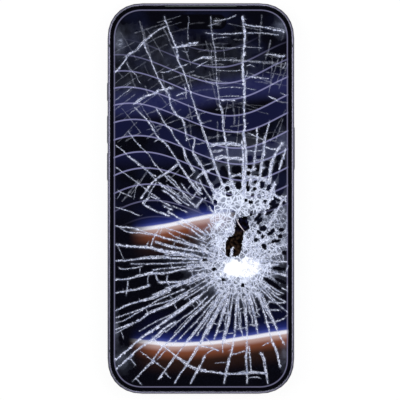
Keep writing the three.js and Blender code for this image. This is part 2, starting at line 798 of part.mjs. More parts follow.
function addBack() {
  const levels = roundedLevels(0, backGlassThickness, glassInset, backGlassEdge, 0);
  const through = [-past, backGlassThickness + past];
  const opening = push(islandOutline(partGap), ...through).translate(islandX, islandY, 0);
  const flashHole = rod(flashDiameter + 2 * partGap, ...through, roundSteps);
  flashHole.translate(flashX, flashY, 0);
  addPiece('back_glass', cut(solidOf(loftSlab(levels)), solidOf(opening), solidOf(flashHole)), 'backGlass');

  const flangeTop = backSeat + islandFlangeThickness;
  const plate = push(islandOutline(0), -islandProud, flangeTop, islandEdge);
  const flange = push(islandOutline(islandFlange), backSeat, flangeTop);
  const bores = ringPlaces.map((y) => {
    const bore = rod(spigotDiameter + 2 * partGap, -islandProud - past, flangeTop + past, roundSteps);
    return solidOf(bore.translate(0, y - islandY, 0));
  });
  const island = cut(join(solidOf(plate), solidOf(flange)), ...bores);
  addPiece('camera_island', island, 'band', [islandX, islandY, 0]);

  const ringFace = -islandProud - ringProud;
  const lensFace = ringFace + lensRecess;
  const lensBack = lensFace + lensThickness;
  const ledge = lensBack + bond;
  const shoulder = -islandProud - bond;
  const seat = lensDiameter / 2 + lensDiameterGap / 2;
  const ringProfile = [
    [ringBore / 2, ledge], [seat, ledge], [seat, ringFace],
    [ringDiameter / 2 - ringChamfer, ringFace], [ringDiameter / 2, ringFace + ringChamfer],
    [ringDiameter / 2, shoulder], [spigotDiameter / 2, shoulder], [spigotDiameter / 2, backSeat],
    [ringBore / 2, backSeat], [ringBore / 2, ledge],
  ];
  const bodyBottom = hangFrom - cameraBodyHeight;
  const bodyShape = roundedRect(cameraBody, cameraBody, cameraCorner, 3);
  const barrel = barrelProfile(rearBarrel, bodyBottom + edge, ledge + partGap);
  ringPlaces.forEach((y, index) => {
    const place = [islandX, y, 0];
    addPiece(`lens_ring_${index + 1}`, turned(ringProfile, roundSteps), 'band', place);
    addPiece(`lens_cover_${index + 1}`, rod(lensDiameter, lensFace, lensBack, roundSteps), 'lens', place);
    const body = solidOf(push(bodyShape, bodyBottom, hangFrom));
    addPiece(`rear_camera_${index + 1}`, join(body, solidOf(turned(barrel))), 'darkPlastic', place);
  });

  const flashTop = backSeat + flashFlangeThickness;
  const flashProfile = [
    [0, bond], [flashDiameter / 2, bond], [flashDiameter / 2, backSeat],
    [flashDiameter / 2 + flashFlange, backSeat], [flashDiameter / 2 + flashFlange, flashTop], [0, flashTop],
  ];
  addPiece('flash_lens', turned(flashProfile, roundSteps), 'flash', [flashX, flashY, 0]);

  const coil = cut(
    solidOf(rod(coilDiameter, backSeat, backSeat + coilThickness, 32)),
    solidOf(rod(coilHole, 0, ceiling, 24)),
  );
  addPiece('charging_coil', coil, 'copper', [0, coilY, 0]);
}

// Front stack: bracket, display and the parts that look out through its cutout
function addFrontStack() {
  const bracketOuter = slab(bracketInset, ledgeTop + bond, stackTop);
  const bracketInner = slab(wellInset, ledgeTop - past, stackTop + past);
  const slitTop = bodyLength / 2 - bracketInset;
  const slitDuct = block(
    [-spoutSize[0] / 2, slitTop - slitWidth, ledgeTop - past],
    [spoutSize[0] / 2, slitTop + past, stackTop + past],
  );
  addPiece('display_bracket', cut(bracketOuter, bracketInner, slitDuct), 'darkPlastic');

  const cutout = solidOf(push(pill(cutoutLength, cutoutWidth), 0, bodyThickness).translate(0, cutoutY, 0));
  addPiece('display_panel', cut(slab(displayInset, panelBottom, stackTop), cutout), 'display');
  const backplate = slab(displayInset, backplateTop - backplateThickness, backplateTop);
  addPiece('display_backplate', cut(backplate, cutout), 'steel');

  const cameraShape = roundedRect(frontCameraBody, frontCameraBody, frontCameraCorner, 2);
  const cameraBlock = solidOf(push(cameraShape, hangFrom - frontCameraDepth, hangFrom));
  const lensTop = stackTop - partGap;
  const barrel = solidOf(turned(barrelProfile(frontBarrel, hangFrom - edge, lensTop)));
  addPiece('front_camera', join(cameraBlock, barrel), 'darkPlastic', [sensorSpacing, cutoutY, 0]);

  const sensorShape = roundedRect(sensorWidth, sensorLength, sensorCorner, 2);
  const sensor = push(sensorShape, wellFloor + bond, lensTop);
  addPiece('proximity_sensor', sensor, 'darkPlastic', [-sensorSpacing, cutoutY, 0]);
}

function addEarpiece() {
  const [width, length, height] = earpieceSize;
  const [spoutWidth, spoutDepth] = spoutSize;
  const body = push(roundedRect(width, length, earpieceCorner, 3), hangFrom - height, hangFrom);
  body.translate(earpieceX, earpieceEdge - length / 2, 0);
  const spout = block(
    [earpieceX - spoutWidth / 2, earpieceEdge - spoutDepth, hangFrom - edge],
    [earpieceX + spoutWidth / 2, earpieceEdge - edge, ledgeTop - bond],
  );
  addPiece('earpiece_speaker', join(solidOf(body), spout), 'darkPlastic');

  const slitHigh = bodyLength / 2 - glassInset;
  const meshShape = roundedRect(slitLength - 2 * partGap, slitWidth - partGap, meshCorner, 2);
  const meshTop = coverTop - meshDrop;
  const mesh = push(meshShape, meshTop - meshThickness, meshTop);
  addPiece('earpiece_mesh', mesh, 'mesh', [0, slitHigh - slitWidth / 2 + bond, 0]);
}

// Shattered cover glass
function seededRandom(seed) {
  let state = seed;
  return () => {
    state = (state + 0x6d2b79f5) | 0;
    let mixed = Math.imul(state ^ (state >>> 15), 1 | state);
    mixed = (mixed + Math.imul(mixed ^ (mixed >>> 7), 61 | mixed)) ^ mixed;
    return ((mixed ^ (mixed >>> 14)) >>> 0) / 4294967296;
  };
}

function distanceToBorder(directionX, directionY) {
  const halfX = bodyWidth / 2 - displayInset - crackMargin;
  const halfY = bodyLength / 2 - displayInset - crackMargin;
  const alongWidth = (Math.sign(directionX) * halfX - impactX) / directionX;
  const alongLength = (Math.sign(directionY) * halfY - impactY) / directionY;
  return Math.min(alongWidth, alongLength);
}

// The bent and slightly wandering line of one radial crack, from near the blow to its far end
function radialLine([degrees, bend, share], random) {
  const swing = THREE.MathUtils.degToRad(degrees);
  const direction = new THREE.Vector2(Math.cos(swing), Math.sin(swing));
  const sideways = new THREE.Vector2(-direction.y, direction.x);
  const reach = distanceToBorder(direction.x, direction.y) * share;
  const points = [];
  for (let step = 0; step <= crackSteps; step += 1) {
    const part = step / crackSteps;
    const wander = step > 0 && step < crackSteps ? (random() - 0.5) * 2 * crackWander : 0;
    const aside = bend * 4 * part * (1 - part) + wander;
    const out = crackStart + (reach - crackStart) * part;
    points.push(new THREE.Vector2(impactX, impactY)
      .addScaledVector(direction, out).addScaledVector(sideways, aside));
  }
  return { points, reach };
}

function pointAlong({ points, reach }, radius) {
  const part = THREE.MathUtils.clamp((radius - crackStart) / (reach - crackStart), 0, 1) * crackSteps;
  const index = Math.min(Math.floor(part), crackSteps - 1);
  return points[index].clone().lerp(points[index + 1], part - index);
}

// A V-shaped tool along a line of points, narrower and shallower at its far end
function grooveTool(points, startWidth, endWidth, startDepth, endDepth) {
  const positions = [];
  points.forEach((point, index) => {
    const part = index / (points.length - 1);
    const depth = THREE.MathUtils.lerp(startDepth, endDepth, part);
    const width = THREE.MathUtils.lerp(startWidth, endWidth, part) * (depth + crackOvershoot) / depth;
    const before = points[Math.max(index - 1, 0)];
    const after = points[Math.min(index + 1, points.length - 1)];
    const along = after.clone().sub(before).normalize();
    const halfX = -along.y * width / 2;
    const halfY = along.x * width / 2;
    positions.push(point.x + halfX, point.y + halfY, coverTop + crackOvershoot);
    positions.push(point.x - halfX, point.y - halfY, coverTop + crackOvershoot);
    positions.push(point.x, point.y, coverTop - depth);
  });
  const faces = [0, 2, 1];
  for (let index = 0; index + 1 < points.length; index += 1) {
    const a = index * 3;
    const b = a + 3;
    faces.push(a, a + 1, b + 1, a, b + 1, b);
    faces.push(a + 1, a + 2, b + 2, a + 1, b + 2, b + 1);
    faces.push(a + 2, a, b, a + 2, b, b + 2);
  }
  const last = (points.length - 1) * 3;
  faces.push(last, last + 1, last + 2);
  const geometry = new THREE.BufferGeometry();
  geometry.setAttribute('position', new THREE.Float32BufferAttribute(positions, 3));
  geometry.setIndex(faces);
  return solidOf(geometry);
}

function crackTools() {
  const random = seededRandom(crackSeed);
  const lines = radialCracks.map((crack) => radialLine(crack, random));
  const tools = lines.map(({ points }) => (
    grooveTool(points, crackWidth, crackTipWidth, crackDepth, crackTipDepth)
  ));
  const farthest = ringRadii[ringRadii.length - 1];
  for (const radius of ringRadii) {
    const far = radius / farthest;
    const chance = THREE.MathUtils.lerp(ringChanceNear, ringChanceFar, far);
    lines.forEach((line, index) => {
      const next = lines[(index + 1) % lines.length];
      const roll = random();
      const startRadius = radius * (1 + (random() - 0.5) * 2 * ringJitter);
      const endRadius = radius * (1 + (random() - 0.5) * 2 * ringJitter);
      if (roll < chance && startRadius < line.reach && endRadius < next.reach) {
        const ends = [pointAlong(line, startRadius), pointAlong(next, endRadius)];
        const width = THREE.MathUtils.lerp(crackWidth, crackTipWidth, far) * ringCrackWidth;
        const depth = THREE.MathUtils.lerp(crackDepth, crackTipDepth, far) * ringCrackDepth;
        tools.push(grooveTool(ends, width, width, depth, depth));
      }
    });
  }
  return tools;
}

function addCoverGlass() {
  const levels = roundedLevels(coverBottom, coverTop, glassInset, 0, coverEdge);
  const slitHigh = bodyLength / 2 - glassInset;
  const notch = block(
    [-slitLength / 2, slitHigh - slitWidth, coverBottom - past],
    [slitLength / 2, slitHigh + past, coverTop + past],
  );
  const dish = turned([
    [0, -dishDepth], [dishRadius * dishFloor.reach, -dishDepth * dishFloor.depth],
    [dishRadius, dishRim], [dishRadius, past], [0, past],
  ]);
  dish.scale(dishStretch, 1, 1).translate(dishX, dishY, coverTop);
  const holeShape = polygon(missingGlass.map(([x, y]) => [x + impactX, y + impactY]).reverse());
  const hole = push(holeShape, coverBottom - past, coverTop + past);
  const whole = cut(solidOf(loftSlab(levels)), notch);
  const shattered = cut(whole, ...crackTools());
  addPiece('cover_glass', cut(shattered, solidOf(dish), solidOf(hole)), 'coverGlass');
}

// Boards, shields, cables and screws
function shieldCan([width, length], top) {
  const outer = solidOf(push(roundedRect(width, length, shieldCorner, 2), top - shieldHeight, top));
  const innerSize = [width - 2 * shieldWall, length - 2 * shieldWall];
  const innerShape = roundedRect(...innerSize, shieldCorner - shieldWall, 2);
  const inner = solidOf(push(innerShape, top - shieldHeight + shieldWall, top + past));
  return cut(outer, inner);
}

function addScrews(prefix, places, faceBelow) {
  const headTop = faceBelow - bond;
  const profile = [
    [0, headTop - screwHeadHeight], [screwHeadDiameter / 2, headTop - screwHeadHeight],
    [screwHeadDiameter / 2, headTop], [screwShankDiameter / 2, headTop],
    [screwShankDiameter / 2, headTop + screwShankLength], [0, headTop + screwShankLength],
  ];
  places.forEach(([x, y], index) => {
    addPiece(`${prefix}_screw_${index + 1}`, turned(profile, 8), 'steel', [x, y, 0]);
  });
}

function screwHoles(places) {
  const diameter = screwShankDiameter + 2 * screwHoleGap;
  return places.map(([x, y]) => solidOf(rod(diameter, -past, ceiling).translate(x, y, 0)));
}

function addBoards() {
  const board = push(polygon([
    [boardLeft, boardLow], [boardRight, boardLow], [boardRight, boardHigh],
    [hornRight, boardHigh], [hornRight, boardHorn], [boardLeft, boardHorn],
  ]), boardBottom, boardTop);
  const inside = slab(wall + boardSideGap / 2, boardBottom - past, boardTop + past);
  addPiece('logic_board', cut(solidOf(board).intersect(inside), ...screwHoles(boardBosses)), 'board');
  addScrews('board', boardBosses, boardBottom);

  const shieldTop = boardBottom - bond;
  const radioX = boardRight - shieldMargin - radioShieldSize[0] / 2;
  const cpuLeft = boardLeft + shieldMargin;
  const cpuRight = radioX - radioShieldSize[0] / 2 - shieldGap;
  const shieldY = (boardLow + boardHigh) / 2 + shieldShift;
  const cpuPlace = [(cpuLeft + cpuRight) / 2, shieldY, 0];
  addPiece('cpu_shield', shieldCan([cpuRight - cpuLeft, cpuShieldLength], shieldTop), 'shield', cpuPlace);
  addPiece('radio_shield', shieldCan(radioShieldSize, shieldTop), 'shield', [radioX, shieldY, 0]);

  const [chargeWidth, chargeLength] = chargeBoardSize;
  const chargeShape = roundedRect(chargeWidth, chargeLength, chargeBoardCorner, 3);
  const charge = push(chargeShape, chargeBoardBottom, chargeBoardTop);
  charge.translate(0, (chargeBoardLow + chargeBoardHigh) / 2, 0);
  addPiece('charge_board', cut(solidOf(charge), ...screwHoles(chargeBosses)), 'board');
  addScrews('charge_board', chargeBosses, chargeBoardBottom);
}

function addCables() {
  const half = cableThickness / 2;
  const besideCoil = backSeat + coilThickness + mainToCoil + half;
  const underChargeBoard = chargeBoardBottom - bond - half - cableClear;
  const underBoard = boardBottom - bond - half - cableClear;
  const mainPath = [
    [chargeBoardHigh - mainLaps.chargeBoard, underChargeBoard],
    [chargeBoardHigh - mainSlopeDown.before, underChargeBoard],
    [chargeBoardHigh + mainSlopeDown.after, besideCoil],
    [boardLow - mainSlopeUp.before, besideCoil],
    [boardLow + mainSlopeUp.after, underBoard],
    [boardLow + mainLaps.logicBoard, underBoard],
  ];
  addPiece('main_cable', strip(mainPath, cableWidth, cableThickness, 0), 'flex');

  const underRib = ceiling - ribHeight - cableThickness - batteryCableToRib;
  const batteryPath = [
    [batteryTop + partGap, underRib],
    [boardLow - batterySlope.before, underRib],
    [boardLow + batterySlope.after, underBoard],
    [boardLow + batteryCableLap, underBoard],
  ];
  addPiece('battery_cable', strip(batteryPath, cableWidth, cableThickness, batteryCableX), 'flex');

  const wellHeight = (wellFloor + backplateTop - backplateThickness) / 2;
  const onBoard = boardTop + bond + half + cableClear;
  const displayPath = [
    [displayCableY - displayLaps.display, wellHeight],
    [displayCableY - displayBend.along, wellHeight],
    [displayCableY, wellHeight - displayBend.down],
    [displayCableY, onBoard + displayFold.up],
    [displayCableY - displayFold.along, onBoard],
    [displayCableY - displayLaps.logicBoard, onBoard],
  ];
  addPiece('display_cable', strip(displayPath, cableWidth, cableThickness, displayCableX), 'flex');
}

// Battery, motor and loudspeaker, all hung under the mid plate
function addBatteryAndMovers() {
  const length = batteryTop - batteryBottom;
  const cell = push(roundedRect(batteryWidth, length, batteryCorner), 0, batteryThickness, batteryBevel);
  const cellPlace = [0, (batteryTop + batteryBottom) / 2, hangFrom - batteryThickness];
  addPiece('battery', cell, 'battery', cellPlace);

  const [motorWidth, motorLength, motorHeight] = motorSize;
  const motor = push(roundedRect(motorWidth, motorLength, motorCorner), 0, motorHeight, moduleBevel);
  const motorX = readerX - motorShift;
  const motorY = batteryBottom - ribGap - ribWidth - motorToRib - motorLength / 2;
  addPiece('vibration_motor', motor, 'steel', [motorX, motorY, hangFrom - motorHeight]);

  const [speakerWidth, speakerLength, speakerHeight] = speakerSize;
  const speakerX = chargeBoardSize[0] / 2 + speakerToBoard + speakerWidth / 2;
  const speakerShape = roundedRect(speakerWidth, speakerLength, speakerCorner, 3);
  const body = push(speakerShape, hangFrom - speakerHeight, hangFrom, moduleBevel);
  body.translate(speakerX, speakerLow + speakerLength / 2, 0);
  const nozzleEnd = speakerHoleStart + (speakerHoleCount - 1) * speakerHoleSpacing + speakerHoleDiameter;
  const nozzle = block(
    [speakerX - speakerWidth / 2 + speakerCorner, -cavityY + partGap, midHeight - speakerHoleDiameter],
    [nozzleEnd, speakerLow + nozzleLap, midHeight + speakerHoleDiameter],
  );
  const inside = slab(wall + speakerToWall, 0, bodyThickness);
  addPiece('loudspeaker', join(solidOf(body).intersect(inside), nozzle), 'darkPlastic');
}

// Charging port: a drawn steel shell and a moulded base with its tongue
function addPort() {
  const outer = pill(portWidth, portHeight);
  const innerWidth = portWidth - 2 * portWall;
  const innerHeight = portHeight - 2 * portWall;
  const inner = pill(innerWidth, innerHeight);
  const shell = cut(
    solidOf(alongY(push(outer, -portDepth, 0))),
    solidOf(alongY(push(inner, -portDepth - past, past))),
  );
  addPiece('port_shell', shell, 'steel', [0, portFront, midHeight]);
  const baseShape = pill(innerWidth - 2 * bond, innerHeight - 2 * bond);
  const base = alongY(push(baseShape, -portDepth, -portDepth + portBaseDepth));
  const tongueShape = roundedRect(tongueWidth, tongueThickness, tongueCorner, 2);
  const tongue = alongY(push(tongueShape, -portDepth + edge, -tongueRecess));
  addPiece('port_tongue', join(solidOf(base), solidOf(tongue)), 'darkPlastic', [0, portFront, midHeight]);
}

// Card tray and the reader that it slides into
function addTray() {
  const faceShape = pill(trayFaceWidth, trayFaceHeight);
  const face = solidOf(alongY(push(faceShape, -trayFaceDepth, 0, trayFaceBevel)));
  const back = trayFaceDepth + trayDepth;
  const bodyLap = trayDepth + trayFaceLap;
  const bodyShape = roundedRect(trayWidth, bodyLap, trayCorner, 3);
  const body = solidOf(push(bodyShape, -trayThickness / 2, trayThickness / 2)
    .translate(trayShift, back - bodyLap / 2, 0));
  const cardShape = roundedRect(trayWidth - 2 * trayRail, trayDepth - 2 * trayEndBar, cardCorner, 3);
  const card = solidOf(push(cardShape, trayThickness / 2 - cardDepth, trayThickness)
    .translate(trayShift, back - trayDepth / 2, 0));
  const ejectHole = alongY(rod(ejectHoleDiameter, -trayFaceDepth - past, past));
  const eject = solidOf(ejectHole.translate(ejectHoleShift, 0, 0));
  addPiece('card_tray', cut(join(face, body), card, eject), 'band', [trayX, trayY, midHeight]);

  const outerShape = roundedRect(readerWidth, readerHeight, readerCorner, 2);
  const innerSize = [readerWidth - 2 * readerWall, readerHeight - 2 * readerWall];
  const innerShape = roundedRect(...innerSize, readerInnerCorner, 2);
  const outer = solidOf(alongY(push(outerShape, -readerDepth, 0)));
  const hollow = solidOf(alongY(push(innerShape, -readerDepth + readerWall, past)));
  addPiece('card_reader', cut(outer, hollow), 'shield', [readerX, readerFront, midHeight]);
}

addFrame();
addFrontStack();
addCoverGlass();
addEarpiece();
addButtons();
addBack();
addBatteryAndMovers();
addBoards();
addCables();
addPort();
addTray();

const group = new THREE.Group();
group.add(phone);
export default group;
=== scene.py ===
"""Dresses the shattered phone: its finishes, the broken glass, and the lit screen under it."""

import math
import random
from functools import partialmethod

import bpy
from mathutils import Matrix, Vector, geometry, kdtree, noise


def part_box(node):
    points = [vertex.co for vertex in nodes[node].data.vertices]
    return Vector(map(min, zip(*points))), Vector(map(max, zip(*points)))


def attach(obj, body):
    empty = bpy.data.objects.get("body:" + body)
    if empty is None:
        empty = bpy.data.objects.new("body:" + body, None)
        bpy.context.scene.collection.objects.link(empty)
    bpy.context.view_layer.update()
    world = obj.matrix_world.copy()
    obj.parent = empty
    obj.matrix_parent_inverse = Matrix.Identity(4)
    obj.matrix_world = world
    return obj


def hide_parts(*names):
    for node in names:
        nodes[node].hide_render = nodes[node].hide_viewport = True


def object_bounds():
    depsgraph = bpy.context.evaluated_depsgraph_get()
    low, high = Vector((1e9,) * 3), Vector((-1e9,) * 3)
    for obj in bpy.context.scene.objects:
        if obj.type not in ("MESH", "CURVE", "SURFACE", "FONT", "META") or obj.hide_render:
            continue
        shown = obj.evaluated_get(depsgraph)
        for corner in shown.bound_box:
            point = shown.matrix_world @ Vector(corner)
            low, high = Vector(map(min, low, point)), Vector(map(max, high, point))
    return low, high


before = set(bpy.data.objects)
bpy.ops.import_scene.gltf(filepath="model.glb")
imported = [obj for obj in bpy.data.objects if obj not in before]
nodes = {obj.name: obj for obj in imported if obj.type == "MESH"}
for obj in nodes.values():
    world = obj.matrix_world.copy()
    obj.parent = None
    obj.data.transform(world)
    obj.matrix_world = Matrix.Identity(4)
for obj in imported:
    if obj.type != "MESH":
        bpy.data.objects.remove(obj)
cad_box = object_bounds()

# Sizes are in millimetres, X to the right, Y to the top of the screen, Z up.
MM = 0.001
BODY = "phone"

# The photo's own frame: one pixel in mm, and the pixel over the phone's middle.
PHOTO_SIZE = 400
PIXEL = 0.3822
MIDDLE_PIXEL = (200.9, 198.5)

# The body's outline, whose corners are a little squarer than a circle.
_, frame_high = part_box("frame")
HALF_WIDTH = frame_high[0] / MM
HALF_LENGTH = frame_high[1] / MM
CORNER = 13.5
SOFTNESS = 2.2
GLASS_INSET = 1.05
SCREEN_INSET = 2.35

# Heights of the glass, taken from the frame.
glass_low, glass_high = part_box("cover_glass")
GLASS_TOP = glass_high[2] / MM
GLASS_BOTTOM = glass_low[2] / MM
PRINT_THICKNESS = 0.02
PRINT_LIFT = 0.01

# In mm, how far the print stops short of the edge of the glass, and stands past the camera cutout.
PRINT_GAP = 0.02
PRINT_MARGIN = 0.3

# The camera cutout in the panel.
PILL_WIDTH = 19.3
PILL_HEIGHT = 5.4
PILL_Y = 67.65
CAMERA_X = 6.2
CAMERA_WINDOW = 1.6

# Where the blow fell, and the edge of the glass that is gone, measured from there.
IMPACT = (13.9, -24.8)
MISSING_GLASS = (
    (0.7, 17.4),
    (3.6, 18.0),
    (4.6, 13.4),
    (2.4, 11.9),
    (1.9, 8.9),
    (1.4, 4.9),
    (0.1, 2.9),
    (-1.7, 2.7),
    (-1.3, 6.2),
    (-2.3, 6.5),
    (-3.0, 2.8),
    (-4.3, 2.7),
    (-4.4, 7.2),
    (-3.3, 9.9),
    (-1.5, 10.6),
    (-1.1, 13.2),
)

# How a crack looks: its width in mm, and how white it is at its middle.
STRONG = (0.86, 1.0)
CLEAR = (0.68, 0.86)
SOFT = (0.54, 0.64)
HAIR = (0.4, 0.46)

